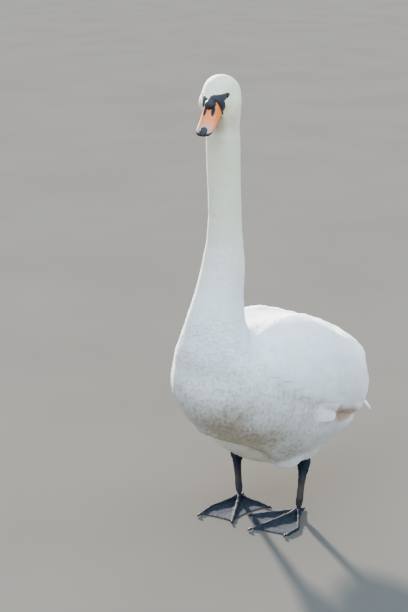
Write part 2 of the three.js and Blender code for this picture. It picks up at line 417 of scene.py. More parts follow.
# where the coat is tinted, with stains and painted shade: balls and turned ellipsoids, metres
stainAndShadeSpec = {
    # under the jaw: a fawn stain, with painted shade of the crease there
    "throat": {"centre": (0.012, -0.322, 1.014), "radius": 0.036},
    "jowl": {"centre": (0.036, -0.300, 1.022), "radius": 0.040},
    "peach": {"centre": (0.150, 0.125, 0.300), "radii": (0.06, 0.115, 0.095), "softness": 0.8},
    # rust-brown stain behind the flank, deepened as painted shade under the wing's edge
    "rustAndShade": {"centre": (0.150, 0.027, 0.260), "radii": (0.06, 0.080, 0.028),
             "turn": (math.radians(-17), 0, 0), "softness": 0.5},
}
# Fades are the heights, widths and places along the body between which a colour comes or goes, metres.
fadeSpec = {
    "cream": (0.52, 0.92),
    "neckSpecks": (0.5, 0.7),
    "frontTop": (0.44, 0.66),
    "frontRear": (-0.16, 0.05),
    # where the painted shade and grime fade in and out
    "shadeAndGrimeTop": (0.27, 0.55),
    "shadeAndGrimeRear": (-0.02, 0.16),
    "shadeAndGrimeFloor": (0.15, 0.19),
    "shadeAndGrimeSide": (0.09, 0.15),
}
# shares of the colour of the painted shade and grime
shadeAndGrimeSpec = {
    "veil": 0.66,
    "patches": 0.34,
    "lessAtSide": 0.42,
    "specksInFront": 0.28,
    "specksBelow": 0.10,
    "specksOnNeck": 0.12,
}


def coatTone(finish, place, up, lightness, broad, fine):
    # white, cream up the neck and on the head, and fawn stain at the throat and the jowls, with painted
    # shade of the crease under the jaw at the throat
    white = finish.mix(lightness, plumageSpec["shadeWhite"], plumageSpec["brightWhite"])
    cream = finish.mix(up.soft(*fadeSpec["cream"]) * (0.65 + 0.35 * broad), white, plumageSpec["cream"])
    throat = finish.near(place, **stainAndShadeSpec["throat"]) * (0.5 + 0.4 * fine)
    jowl = finish.near(place, **stainAndShadeSpec["jowl"]) * (0.25 + 0.4 * fine)
    return finish.mix(larger(throat, jowl), cream, plumageSpec["throat"])


def shadeAndGrimeShare(finish, place, axes, under, cleanAndLit, broad, specks):
    # a veil of painted shade and grime low on the breast and belly, darker towards the bottom and less at
    # the sides, and, where specks are given, darker dashes in them, mottling that is partly stain and
    # partly painted shadow between the feathers
    side, back, up = axes
    low = (1.0 - up.soft(*fadeSpec["shadeAndGrimeTop"])) * (1.0 - back.soft(*fadeSpec["shadeAndGrimeRear"]))
    low = low * up.soft(*fadeSpec["shadeAndGrimeFloor"]) * (1.0 - under)
    low = low * (1.0 - shadeAndGrimeSpec["lessAtSide"] * abs(side).soft(*fadeSpec["shadeAndGrimeSide"])) * (1.0 - cleanAndLit)
    veil = low * (shadeAndGrimeSpec["veil"] + shadeAndGrimeSpec["patches"] * broad)
    if specks is None:
        return veil
    dashes = finish.noise(finish.stretched(place, (120, 120, 70)), 1.0, 3).soft(0.40, 0.72)
    front = (1.0 - up.soft(*fadeSpec["frontTop"])) * (1.0 - back.soft(*fadeSpec["frontRear"]))
    speckled = front * shadeAndGrimeSpec["specksInFront"] + low * shadeAndGrimeSpec["specksBelow"]
    speckled = speckled + up.soft(*fadeSpec["neckSpecks"]) * shadeAndGrimeSpec["specksOnNeck"]
    return veil + (0.35 + 0.65 * specks) * dashes * speckled


def loreShare(finish, place):
    # 1 on the bare black skin, whose edge is ragged
    side, back, up = finish.split(finish.headPlace(False))
    ragged = (finish.noise(place, 420).soft(0, 1) - 0.5) * 0.0012
    return (loreEdge(side, back, up) + ragged).soft(-0.0006, 0.0008)


def makePlumage(name, barbs):
    # white feathers with the swan's stains, painted shade low on the body and under its edges, a flank
    # panel painted brighter and, on the head, the black lores
    finish = Finish(name)
    spec = plumageSpec
    place = finish.place()
    axes = finish.split(place)
    tone = finish.attribute("tone")
    across, along, _ = finish.split(finish.node("ShaderNodeUVMap", {"uv_map": "vane"}))
    broad = finish.noise(place, 9, 3).soft(0.35, 0.7)
    fine = finish.noise(place, 60, 4).soft(0.4, 0.75)
    # the flank panel: clean feathers, free of stains and painted shade, and painted the brightest white,
    # partly as painted light
    cleanAndLit = finish.attribute("cleanAndLit") * along.soft(0.0, 0.5)
    tinted = coatTone(finish, place, axes[2], larger(tone, cleanAndLit), broad, fine)
    under = finish.attribute("under")
    # the belly's cream, darkened as painted shade of the underside
    belly = finish.mix(under * (0.60 + 0.35 * broad), tinted, spec["belly"])
    # painted shade and grime, darker towards the bottom of the breast and belly
    shadeAndGrime = shadeAndGrimeShare(finish, place, axes, under, cleanAndLit, broad, None if barbs else along.soft(0.45, 1.0))
    shadedAndGrimy = finish.mix(shadeAndGrime, belly, spec["shadeAndGrime"])
    # painted shade under the breast's edge and the wing's lower edge, with some dirt along the breast's
    edgeShadeAndDirt = finish.attribute("edgeShadeAndDirt")
    warm = finish.mix(edgeShadeAndDirt * (0.45 + 0.45 * fine) * (1.0 - cleanAndLit), shadedAndGrimy, spec["shadow"])
    peach = finish.within(place, **stainAndShadeSpec["peach"])
    tanned = finish.mix(peach * (0.30 + 0.40 * broad), warm, spec["peach"])
    # rust stain behind the flank, deepened as painted shade under the wing's edge
    rustAndShade = finish.within(place, **stainAndShadeSpec["rustAndShade"])
    stainedAndShaded = finish.mix(rustAndShade * (0.75 + 0.25 * fine) * (1.0 - cleanAndLit), tanned, spec["rustAndShade"])
    lore = loreShare(finish, place)
    colour = finish.mix(lore, stainedAndShaded, spec["lore"])
    if barbs:
        middle = 1.0 - abs(across - 0.5).soft(0.0, 0.03)
        colour = finish.mix(middle * 0.25, colour, spec["rib"])
        barb = ((along - abs(across - 0.5) * 0.35) * 420.0).sum("SINE")
        normal = finish.bump(middle * 0.7 + barb * 0.12 + fine * 0.3, 0.3, 0.0005)
    else:
        normal = finish.bump(finish.noise(place, 500, 3), 0.25, 0.0006)
    return finish.shade(Base_Color=colour, Roughness=0.80 + 0.1 * fine - 0.4 * lore, Normal=normal,
                        Sheen_Weight=0.2, Sheen_Roughness=0.6, Specular_IOR_Level=0.2)


plumageFinish = makePlumage("plumage", False)
vaneFinish = makePlumage("vanes", True)
print("plumage materials made")


# Depths are from the solids' surface, metres. Pushes move the flesh outwards over a rounded area.
skinSpec = {
    "voxel": 0.0037,
    "smoothing": {"all": 9, "body": 45, "head": 14},
    "rearEnd": 0.262,
    "bareDepth": 0.0004,
    "headDepth": 0.0014,
    "neckDepth": 0.0024,
    "bodyDepth": 0.0042,
    "thighDepth": 0.0032,
    "billDepth": 0.0045,
    "headSwell": 0.0022,
    "neckSwell": 0.0019,
    "bodySwell": 0.0008,
    "unevenness": 0.0007,
    "cuff": (0.0600, -0.0150),
    "cuffReach": (0.030, 0.048),
    "cuffHeights": (0.125, 0.185),
    "cuffLift": 0.036,
    "cuffWay": (0.11, -0.28, 1.0),
    "pushes": [
        ((0.024, -0.262, 1.062), 0.035, 0.0042),
        ((0.038, -0.309, 1.043), 0.030, 0.0040),
        ((0.083, -0.336, 0.480), 0.050, 0.0085),
        ((0.067, -0.350, 0.520), 0.055, 0.0030),
        ((0.034, -0.260, 0.690), 0.090, 0.0055),
        ((0.064, 0.080, 0.468), 0.075, -0.0100),
        ((0.037, 0.030, 0.492), 0.060, -0.0035),
        ((0.030, 0.145, 0.440), 0.070, -0.0045),
        ((0.126, 0.135, 0.392), 0.050, 0.0065),
        ((0.076, 0.100, 0.452), 0.050, -0.0035),
        ((0.045, -0.245, 0.600), 0.060, 0.0040),
        ((0.128, 0.172, 0.330), 0.060, -0.0075),
        ((0.150, 0.115, 0.274), 0.046, 0.0105),
        ((0.136, 0.090, 0.218), 0.065, 0.0085),
    ],
}
# the edge of the breast and flank feathers over the belly, on the left side
foldLine = np.array([
    (-0.002, -0.318, 0.290), (0.038, -0.306, 0.278), (0.070, -0.272, 0.261),
    (0.082, -0.221, 0.228), (0.075, -0.191, 0.203), (0.065, -0.150, 0.169)])
# The breast lies over the belly along that line, and the folded wing over the flank. A hump is its middle,
# measured across the edge, and its width.
edgeSpec = {
    "foldDepth": 0.0105,
    "foldHollow": 0.020,
    "foldLip": (-0.010, 0.010),
    # painted shade, with some dirt, under the breast's edge
    "foldShadeAndDirt": (-0.001, 0.010),
    "wingStep": 0.0075,
    "wingHollow": (-0.010, 0.011),
    "wingLip": (0.010, 0.014),
    # painted shade under the wing's edge
    "wingShade": (-0.007, 0.008),
}
# The folded wing's edges are angles from level, in degrees, at places along the body.
wingEdgeSpec = {
    "low": [(-0.30, 28), (-0.24, 16), (-0.16, -4), (-0.04, -16), (0.04, -24.5),
            (0.11, -29), (0.17, -27), (0.24, -18), (0.30, -8)],
    "high": [(-0.30, 50), (-0.2, 58), (-0.04, 72), (0.10, 88), (0.35, 89)],
    "front": -0.285,
    "top": 0.56,
    "halfBody": 0.165,
}
# the trunk's middle line, seen from the side
axisSpec = {
    "front": -0.398,
    "height": 0.440,
    "fall": 0.2482,
}
eyeSpec = {
    "radius": 0.0062,
    "place": (0.0226, 0.0264, 0.0284),
    "outwards": (0.90, -0.38, 0.20),
    "segments": (40, 24),
    "iris": (rgb(0.020, 0.008, 0.004), rgb(0.055, 0.022, 0.010)),
    "pupil": rgb(0.002, 0.002, 0.002),
    "pupilRadius": 0.0030,
}


def billShare(places):
    # 1 where the skin runs on inside the bill and the knob
    inFront = ease(-intoHead(places)[:, 1], -0.001, 0.004)
    return inFront * ease(places[:, 2], 0.985, 0.995) * ease(-places[:, 1], 0.31, 0.32)


def bareShare(places):
    # 1 on the bare lores, as the material paints them
    level = intoHead(places)
    inside = loreEdge(level[:, 0], level[:, 1], level[:, 2])
    return ease(inside, -0.001, 0.001) * ease(places[:, 2], 0.985, 0.995)


def thighShare(places):
    side, up = np.abs(places[:, 0]), places[:, 2]
    return ease(-up, -0.205, -0.165) * ease(side, 0.035, 0.055)


def coatDepth(places):
    # how far under the solids' surface the skin lies, which is the room for the feathers
    up = places[:, 2]
    depth = np.full(len(places), skinSpec["bodyDepth"])
    depth = blend(depth, skinSpec["neckDepth"], ease(up, 0.52, 0.66))
    depth = blend(depth, skinSpec["headDepth"], ease(up, 0.985, 1.03))
    depth = blend(depth, skinSpec["thighDepth"], thighShare(places))
    depth = blend(depth, skinSpec["bareDepth"], bareShare(places))
    return blend(depth, skinSpec["billDepth"], billShare(places))


def wingEdges(back):
    # the angles between which the folded wing covers the side of the body
    return [np.interp(back, *zip(*wingEdgeSpec[edge])) for edge in ("low", "high")]


def bodyAxis(back):
    return axisSpec["height"] - (back - axisSpec["front"]) * axisSpec["fall"]


def aroundBody(places):
    return np.degrees(np.arctan2(places[:, 2] - bodyAxis(places[:, 1]), np.abs(places[:, 0])))


def besideFold(places, normals):
    # how far inside the belly's side of the fold places are, and how much the fold counts there
    mirror = np.ones_like(places)
    mirror[places[:, 0] < 0, 0] = -1
    folded, outwards = places * mirror, normals * mirror
    best = np.full(len(places), 1.0)
    signed = np.full(len(places), 1.0)
    share = np.zeros(len(places))
    for k, (start, end) in enumerate(zip(foldLine[:-1], foldLine[1:])):
        way = end - start
        t = np.clip(((folded - start) @ way) / (way @ way), 0, 1)
        offset = folded - (start + t[:, None] * way)
        reach = np.linalg.norm(offset, axis=1)
        inwards = unit(-np.cross(outwards, way))
        closer = reach < best
        best = np.where(closer, reach, best)
        signed = np.where(closer, dot(offset, inwards), signed)
        share = np.where(closer, (k + t) / (len(foldLine) - 1), share)
    off = np.sqrt(np.maximum(best ** 2 - signed ** 2, 0))
    return signed, (1 - ease(off, 0.012, 0.035)) * (1 - ease(share, 0.8, 1.0) * 0.6)


def besideWing(places):
    # how far above the wing's lower edge places are, and how much that edge stands out there
    back = places[:, 1]
    low, _ = wingEdges(back)
    above = (aroundBody(places) - low) * math.radians(wingEdgeSpec["halfBody"])
    return above, ease(back, -0.17, -0.02) * (1 - ease(back, 0.15, 0.22)) * (places[:, 2] < 0.6)


def edgePush(places, normals):
    # steps the skin down under the breast and under the wing, each with one soft edge
    signed, strength = besideFold(places, normals)
    groove = -ease(signed, -0.001, 0.006) * np.exp(-np.maximum(signed, 0) / edgeSpec["foldHollow"])
    lip = 0.45 * hump(signed, *edgeSpec["foldLip"])
    above, rear = besideWing(places)
    under = -hump(above, *edgeSpec["wingHollow"])
    over = 0.5 * hump(above, *edgeSpec["wingLip"])
    return (groove + lip) * strength * edgeSpec["foldDepth"] + (under + over) * rear * edgeSpec["wingStep"]


def paintEdges(mesh, places, normals):
    # painted shade in those edges, with some dirt along the breast's, and the belly under the breast, which
    # gets its own cream, darkened as painted shade
    signed, strength = besideFold(places, normals)
    above, rear = besideWing(places)
    inFront = 1 - 0.65 * ease(places[:, 1], -0.28, -0.20)
    underBreast = strength * inFront * hump(signed, *edgeSpec["foldShadeAndDirt"])
    shadeAndDirt = larger(underBreast, rear * hump(above, *edgeSpec["wingShade"]))
    belly = ease(signed, 0.002, 0.016) * ease(strength, 0.0, 0.3) * (1 - ease(signed, 0.04, 0.11))
    belly *= places[:, 2] < 0.33
    addAttribute(mesh, "edgeShadeAndDirt", shadeAndDirt)
    addAttribute(mesh, "under", belly)


def liftCuff(places):
    # the feathers of the left thigh end higher than the solid, above the ankle
    reach = np.linalg.norm(places[:, :2] - skinSpec["cuff"], axis=1)
    share = (1 - ease(reach, *skinSpec["cuffReach"])) * (1 - ease(places[:, 2], *skinSpec["cuffHeights"]))
    return places + (skinSpec["cuffLift"] * share)[:, None] * skinSpec["cuffWay"]


def shapePush(places):
    total = np.zeros(len(places))
    for centre, radius, amount in skinSpec["pushes"]:
        for sign in (1, -1):
            reach = np.linalg.norm(places - np.array(centre) * (sign, 1, 1), axis=1)
            total += amount * hump(reach, 0, 0.6 * radius)
    return total


def openEyes(places):
    # the skin passes behind the front of each eyeball
    level = intoHead(places)
    for sign in (1, -1):
        centre = np.array(eyeSpec["place"]) * (sign, 1, 1)
        outwards = unit(np.array(eyeSpec["outwards"]) * (sign, 1, 1))
        offset = level - centre
        reach = np.linalg.norm(offset, axis=1)
        covers = (reach < eyeSpec["radius"] + 0.0014) & (offset @ outwards > 0.0016)
        level[covers] = centre + offset[covers] / reach[covers, None] * (eyeSpec["radius"] - 0.0009)
    return outOfHead(level)


def makeSkin():
    # the tail's and the wings' ends are quills only
    tail = cadCopy("tailCore", "tail")
    wings = cadCopy("wingCore", "wing_left", "wing_right")
    for part in (tail, wings):
        cutOff(part, (0, skinSpec["rearEnd"], 0), (0, 1, 0), True)
    body = cadCopy("bodyCore", "head", "neck_upper", "neck_lower", "trunk", "thigh_left", "thigh_right",
                   "bill_upper", "bill_knob")
    piece = joinPieces("skin", [body, wings, tail])
    remeshed(piece, skinSpec["voxel"], skinSpec["smoothing"]["all"])
    places = vertexPlaces(piece.data)
    broadSmooth = (1 - ease(places[:, 2], 0.60, 0.75)) * ease(places[:, 2], 0.17, 0.21)
    firmRump = 1 - 0.8 * ease(places[:, 1], 0.20, 0.25)
    smoothed(piece, skinSpec["smoothing"]["body"], 0.6, broadSmooth * firmRump)
    headSmooth = ease(vertexPlaces(piece.data)[:, 2], 1.035, 1.055)
    smoothed(piece, skinSpec["smoothing"]["head"], 0.5, headSmooth)
    normals = vertexNormals(piece.data)
    places = vertexPlaces(piece.data)
    up = places[:, 2]
    outwards = edgePush(places, normals) + shapePush(places) - coatDepth(places)
    outwards += ripple(places, 0.07, 3) * skinSpec["unevenness"] * (1 - ease(up, 0.5, 0.7))
    outwards += skinSpec["headSwell"] * headSmooth + skinSpec["bodySwell"] * broadSmooth
    outwards += skinSpec["neckSwell"] * ease(up, 0.70, 0.82) * (1 - ease(up, 0.975, 1.0))
    movePlaces(piece.data, liftCuff(openEyes(places + normals * outwards[:, None])))
    smoothed(piece, 1, 0.3)
    editAll(piece)
    bpy.ops.mesh.quads_convert_to_tris()
    bpy.ops.uv.smart_project(angle_limit=math.radians(70), island_margin=0.002)
    leaveEdit()
    piece.data.uv_layers[0].name = "OFBake"
    paintEdges(piece.data, vertexPlaces(piece.data), vertexNormals(piece.data))
    shadeSoft(piece)
    piece.data.materials.append(plumageFinish)
    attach(piece, "root")
    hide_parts("head", "neck_upper", "neck_lower", "trunk", "tail", "thigh_left", "thigh_right",
                "wing_left", "wing_right")
    return piece


skin = makeSkin()
print("skin made with", len(skin.data.polygons), "faces")

skinPlaces = vertexPlaces(skin.data)
skinNormals = vertexNormals(skin.data)
skinFaces = valuesOf(skin.data.polygons, "vertices", 3, np.int32)
skinMap = valuesOf(skin.data.uv_layers["OFBake"].data, "uv", 2).reshape(-1, 3, 2)
skinTree = BVHTree.FromPolygons(skinPlaces.tolist(), skinFaces.tolist())
corners = skinPlaces[skinFaces]
firstEdges, lastEdges = corners[:, 1] - corners[:, 0], corners[:, 2] - corners[:, 0]
faceAreas = np.linalg.norm(np.cross(firstEdges, lastEdges), axis=1) / 2
faceCentres = corners.mean(axis=1)


def dropOnSkin(points):
    # nearest places on the skin, with its smooth normals there and the faces hit
    places = np.empty_like(points)
    faces = np.empty(len(points), dtype=np.int32)
    for i, point in enumerate(points):
        hit = skinTree.find_nearest(point)
        places[i] = hit[0]
        faces[i] = hit[2]
    return places, smoothNormals(places, faces), faces


def sharesOf(places, faces):
    # how much each corner of its face counts at a place
    a, b, c = (skinPlaces[skinFaces[faces, i]] for i in range(3))
    whole = np.linalg.norm(np.cross(b - a, c - a), axis=1) + 1e-12
    shareB = np.linalg.norm(np.cross(places - a, c - a), axis=1) / whole
    shareC = np.linalg.norm(np.cross(b - a, places - a), axis=1) / whole
    return np.stack([1 - shareB - shareC, shareB, shareC], axis=1)[:, :, None]


def smoothNormals(places, faces):
    return unit((skinNormals[skinFaces[faces]] * sharesOf(places, faces)).sum(axis=1))


def bakePlaceOf(places, faces):
    # where points of the skin lie on its unwrap
    return (skinMap[faces] * sharesOf(places, faces)).sum(axis=1)


def lieOfCoat(places, normals):
    # the way the feathers point, along the skin
    side, back, up = places[:, 0], places[:, 1], places[:, 2]
    rearward = ease(back, -0.34, -0.10)
    way = np.stack([0.25 * side * (1 - rearward), 0.3 + 0.7 * rearward, -1 + 0.62 * rearward], axis=1)
    neckWay = np.tile([0.0, 0.1, -1.0], (len(places), 1))
    headWay = np.array([0.0, 1.0, -0.42]) @ headSpin.T
    thighWay = np.tile([0.0, 0.35, -1.0], (len(places), 1))
    way = blend(way, neckWay, ease(up, 0.47, 0.56)[:, None])
    way = blend(way, headWay, ease(up, 1.0, 1.03)[:, None])
    way = blend(way, thighWay, thighShare(places)[:, None])
    way = unit(way - normals * dot(way, normals)[:, None])
    sway = ripple(places, 0.09, 5) * 0.12 + dice.normal(0, 0.06, len(places))
    return unit(way + np.cross(normals, way) * sway[:, None])


def meshFromArrays(name, places, fours, threes, finish, normals, sides):
    # normals are the upper side's at each vertex; sides say which loops are of it (1) or under it (-1)
    mesh = bpy.data.meshes.new(name)
    mesh.vertices.add(len(places))
    mesh.vertices.foreach_set("co", places.reshape(-1))
    loops = np.concatenate([fours.reshape(-1), threes.reshape(-1)]).astype(np.int32)
    sizes = np.concatenate([np.full(len(fours), 4), np.full(len(threes), 3)])
    mesh.loops.add(len(loops))
    mesh.loops.foreach_set("vertex_index", loops)
    mesh.polygons.add(len(sizes))
    mesh.polygons.foreach_set("loop_start", (np.cumsum(sizes) - sizes).astype(np.int32))
    mesh.update(calc_edges=True)
    mesh.shade_smooth()
    mesh.normals_split_custom_set(normals[loops] * sides[:, None])
    mesh.materials.append(finish)
    piece = bpy.data.objects.new(name, mesh)
    bpy.context.collection.objects.link(piece)
    return piece, loops


def followSkin(roots, normals, ways, lengths, steps):
    # a line of points over the skin from each root
    line = [roots]
    lineNormals = [normals]
    heading = ways
    for _ in range(steps):
        ahead, under, _ = dropOnSkin(line[-1] + heading * (lengths / steps)[:, None])
        travelled = ahead - line[-1]
        heading = unit(travelled - under * dot(travelled, under)[:, None])
        line.append(ahead)
        lineNormals.append(under)
    return np.stack(line, axis=1), np.stack(lineNormals, axis=1)


bakePatch = 0.003  # how much of the unwrap one feather takes


def alongLine(values, share):
    # a line's values at a share of its length
    steps = values.shape[1] - 1
    spot = share * steps
    low = min(int(spot), steps - 1)
    return values[:, low] * (1 - spot + low) + values[:, low + 1] * (spot - low)


def shapeVanes(line, lineNormals, lengths, spec, widths, lifts):
    # each feather's rings of points, its root and its tip, with the upper side's normal there, and
    # every point's place across and along the feather
    stops, across = spec["stops"], spec["across"]
    ringSize = 2 * len(across) - 2
    perVane = ringSize * len(stops) + 2
    places = np.empty((len(line), perVane, 3))
    facing = np.empty((len(line), perVane, 3))
    vaneMap = np.empty((perVane, 2))
    curl = dice.normal(0, spec["curl"], len(line))
    slope = ((lifts - spec["sink"]) / lengths)[:, None]
    for k, (t, wide) in enumerate(zip(stops, spec["profile"])):
        upwards = unit(alongLine(lineNormals, t))
        forward = unit(alongLine(line, min(t + 0.1, 1.0)) - alongLine(line, max(t - 0.1, 0.0)))
        sideways = unit(np.cross(forward, upwards))
        half = widths * 0.5 * wide
        rise = spec["sink"] + (lifts - spec["sink"]) * t
        centre = alongLine(line, t) + sideways * (curl * lengths * t * t)[:, None]
        for j, s in enumerate(across):
            under, over = centre + sideways * (half * s)[:, None], upwards
            if spec["hugs"] and s:
                under, over, _ = dropOnSkin(under)
            rolled = spec["relief"] * sideways * 2 * spec["camber"] * s
            leaning = unit(over - spec["relief"] * forward * slope + rolled)
            for at, thick in ((j, 0.5), (ringSize - j, -0.5)):
                if abs(s) < 1 or thick > 0:
                    height = rise - spec["camber"] * half * s * s + thick * spec["thickness"] * (abs(s) < 1)
                    places[:, k * ringSize + at] = under + over * height[:, None]
                    facing[:, k * ringSize + at] = leaning
                    vaneMap[k * ringSize + at] = ((s + 1) / 2, t)
    places[:, -2] = line[:, 0] + lineNormals[:, 0] * spec["sink"]
    facing[:, -2] = lineNormals[:, 0]
    vaneMap[-2] = (0.5, 0.0)
    tipUp = unit(lineNormals[:, -1])
    tipSide = np.cross(unit(line[:, -1] - line[:, -2]), tipUp)
    places[:, -1] = line[:, -1] + tipUp * lifts[:, None] + tipSide * (curl * lengths)[:, None]
    facing[:, -1] = tipUp
    vaneMap[-1] = (0.5, 1.0)
    return places, facing, vaneMap


def soundVanes(places, facing, lengths, spec):
    # which feathers aren't bent back on themselves by a fold of the skin
    stops, across = spec["stops"], spec["across"]
    starts = np.arange(len(stops)) * (2 * len(across) - 2)
    middles = starts + len(across) // 2
    strides = np.diff(places[:, [-2, *middles, -1]], axis=1)
    rims = places[:, starts + len(across) - 1] - places[:, starts]
    tops = unit(np.cross(rims, strides[:, 1:]))
    level = dot(tops, facing[:, middles]) > 0.6
    room = lengths[:, None] * np.diff([0, *stops, 1])
    stretched = np.linalg.norm(strides, axis=2) > 0.5 * room
    return level.all(axis=1) & stretched.all(axis=1)


def vaneFaces(rings, ringSize):
    # one feather's faces: bands of four-sided ones, and three-sided ones at the root and the tip
    ringAt = np.arange(ringSize)
    nextAt = (ringAt + 1) % ringSize
    band = np.stack([ringAt, nextAt, nextAt + ringSize, ringAt + ringSize], axis=1)
    fours = np.concatenate([band + k * ringSize for k in range(rings - 1)])
    last = (rings - 1) * ringSize
    root, tip = np.full(ringSize, rings * ringSize), np.full(ringSize, rings * ringSize + 1)
    threes = np.concatenate([np.stack([nextAt, ringAt, root], axis=1),
                             np.stack([ringAt + last, nextAt + last, tip], axis=1)])
    return fours, threes


def growVanes(name, finish, line, lineNormals, faces, spec, widths, lifts):
    # closed thin feathers along lines over the skin, joined into one piece
    lengths = np.linalg.norm(np.diff(line, axis=1), axis=2).sum(axis=1)
    places, facing, vaneMap = shapeVanes(line, lineNormals, lengths, spec, widths, lifts)
    sound = soundVanes(places, facing, lengths, spec)
    places, facing, line, faces = places[sound], facing[sound], line[sound], faces[sound]
    count, perVane = places.shape[:2]
    rings, upper = len(spec["stops"]), len(spec["across"]) - 1
    fours, threes = vaneFaces(rings, 2 * upper)
    shift = (np.arange(count) * perVane)[:, None, None]
    ringSides = np.repeat([1, -1], upper)
    sides = np.concatenate([np.tile(np.repeat(ringSides, 4), (rings - 1) * count),
                            np.tile(np.repeat(ringSides, 3), 2 * count)])
    piece, loops = meshFromArrays(name, places.reshape(-1, 3), (fours + shift).reshape(-1, 4),
                                  (threes + shift).reshape(-1, 3), finish, facing.reshape(-1, 3), sides)
    addMap(piece.data, "vane", vaneMap[loops % perVane])
    patch = (vaneMap - 0.5) * bakePatch
    addMap(piece.data, "OFBake", bakePlaceOf(line[:, 0], faces)[loops // perVane] + patch[loops % perVane])
    addAttribute(piece.data, "tone", np.repeat(dice.uniform(0, 1, count), perVane))
    paintEdges(piece.data, places.reshape(-1, 3), facing.reshape(-1, 3))
    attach(piece, "root")
    print(name, count, "of", len(sound), "feathers,", count * (len(fours) * 2 + len(threes)), "triangles")
    return piece


# Spacings are the room that each feather has on the skin. The rest are the limits of the coat's regions.
coatSpec = {
    "headSpacing": 0.0024,
    "neckSpacing": 0.0038,
    "breastSpacing": 0.0076,
    "bellySpacing": 0.0072,
    "thighSpacing": 0.0052,
    "backSpacing": 0.0090,
    "headFrom": 0.985,
    "neckFrom": 0.62,
    "thighTo": 0.185,
    "thighSide": 0.045,
    "ankle": 0.137,
    "breastTo": -0.16,
    "tailFrom": 0.254,
    "surplus": 5.0,  # places tried for each one that is kept
}
# Tufts are a shape, a length and a width as shares of each feather's room, and a height as a share of the
# coat's depth.
tuftSpec = {
    "coatHead": ("fine", 3.6, 1.7, 0.5),
    "coatNeck": ("fine", 4.6, 2.0, 0.34),
    "coatBreast": ("contour", 4.2, 2.3, 0.42),
    "coatRump": ("contour", 4.2, 2.3, 0.5),
    "coatThighs": ("fine", 4.0, 1.8, 0.8),
}


def onWing(places):
    low, high = wingEdges(places[:, 1])
    angle = aroundBody(places)
    inside = (angle > low + 1) & (angle < high + 2)
    return inside & (places[:, 1] > wingEdgeSpec["front"]) & (places[:, 2] < wingEdgeSpec["top"])


def spacingAt(places):
    back, up = places[:, 1], places[:, 2]
    spacing = np.full(len(places), coatSpec["breastSpacing"])
    spacing = blend(spacing, coatSpec["bellySpacing"], ease(back, -0.25, -0.1) * ease(-up, -0.3, -0.25))
    spacing = blend(spacing, coatSpec["backSpacing"], ease(back, -0.25, -0.15) * ease(up, 0.38, 0.42))
    spacing = blend(spacing, coatSpec["neckSpacing"], ease(up, 0.48, 0.72))
    spacing = blend(spacing, coatSpec["headSpacing"], ease(up, 0.97, 1.03))
    return blend(spacing, coatSpec["thighSpacing"], thighShare(places))


def scatterRoots():
    # random places all over the skin, thinned until each has its own room
    spacing = spacingAt(faceCentres)
    bare = np.maximum(bareShare(faceCentres), billShare(faceCentres)) > 0.5
    hidden = (faceCentres[:, 1] > coatSpec["tailFrom"]) | onWing(faceCentres)
    chance = faceAreas / spacing ** 2 * ~(bare | hidden)
    total = int(chance.sum() * coatSpec["surplus"])
    faces = dice.choice(len(faceAreas), total, p=chance / chance.sum())
    a = dice.uniform(size=total)
    b = dice.uniform(size=total)
    over = a + b > 1
    a[over] = 1 - a[over]
    b[over] = 1 - b[over]
    spots = corners[faces]
    places = spots[:, 0] * (1 - a - b)[:, None] + spots[:, 1] * a[:, None] + spots[:, 2] * b[:, None]
    room = spacingAt(places)
    tree = kdtree.KDTree(total)
    for i, place in enumerate(places):
        tree.insert(place, i)
    tree.balance()
    free = np.ones(total, dtype=bool)
    chosen = []
    for i in range(total):
        if free[i]:
            chosen.append(i)
            for _, j, _ in tree.find_range(places[i], room[i]):
                free[j] = False
    chosen = np.array(chosen)
    return places[chosen], faces[chosen]


rootPlaces, rootFaces = scatterRoots()
rootNormals = smoothNormals(rootPlaces, rootFaces)
rootWays = lieOfCoat(rootPlaces, rootNormals)
print("roots placed:", len(rootPlaces))

tuftShapes = {
    "fine": {
        "stops": (0.35, 0.7, 0.93), "profile": (0.9, 1.0, 0.6),
        "across": (-1, 0, 1), "hugs": True,
        "thickness": 0.0002, "camber": 0.10, "relief": 0.2, "curl": 0.02, "sink": -0.0008,
    },
    "contour": {
        "stops": (0.3, 0.62, 0.86, 0.97), "profile": (0.8, 1.0, 0.85, 0.45),
        "across": (-1, 0, 1), "hugs": True,
        "thickness": 0.0003, "camber": 0.10, "relief": 0.35, "curl": 0.03, "sink": -0.0012,
    },
}


def growCoat(name, chosen, shape, length, width, lift):
    places, normals, ways = rootPlaces[chosen], rootNormals[chosen], rootWays[chosen]
    room = spacingAt(places)
    size = dice.uniform(0.88, 1.15, len(places))
    lifts = lift * coatDepth(places) * (1 + 0.15 * ripple(places, 0.05, 8))
    lifts *= dice.uniform(0.8, 1.1, len(places))
    line, lineNormals = followSkin(places, normals, ways, room * length * size, 3)
    growVanes(name, plumageFinish, line, lineNormals, rootFaces[chosen], tuftShapes[shape],
              room * width * size, lifts)


def growAllCoat():
    side, back, up = np.abs(rootPlaces[:, 0]), rootPlaces[:, 1], rootPlaces[:, 2]
    ankle = coatSpec["ankle"]
    cuff = np.where(rootPlaces[:, 0] > 0, ankle + 0.8 * skinSpec["cuffLift"], ankle)
    head = up > coatSpec["headFrom"]
    neck = (up > coatSpec["neckFrom"]) & ~head
    thigh = (up < coatSpec["thighTo"]) & (side > coatSpec["thighSide"]) & (up > cuff)
    front = (back < coatSpec["breastTo"]) & ~neck & ~head & ~thigh
    rest = ~(head | neck | thigh | front) & (up > ankle)
    for (name, tufts), chosen in zip(tuftSpec.items(), (head, neck, front, rest, thigh)):
        growCoat(name, chosen, *tufts)


growAllCoat()


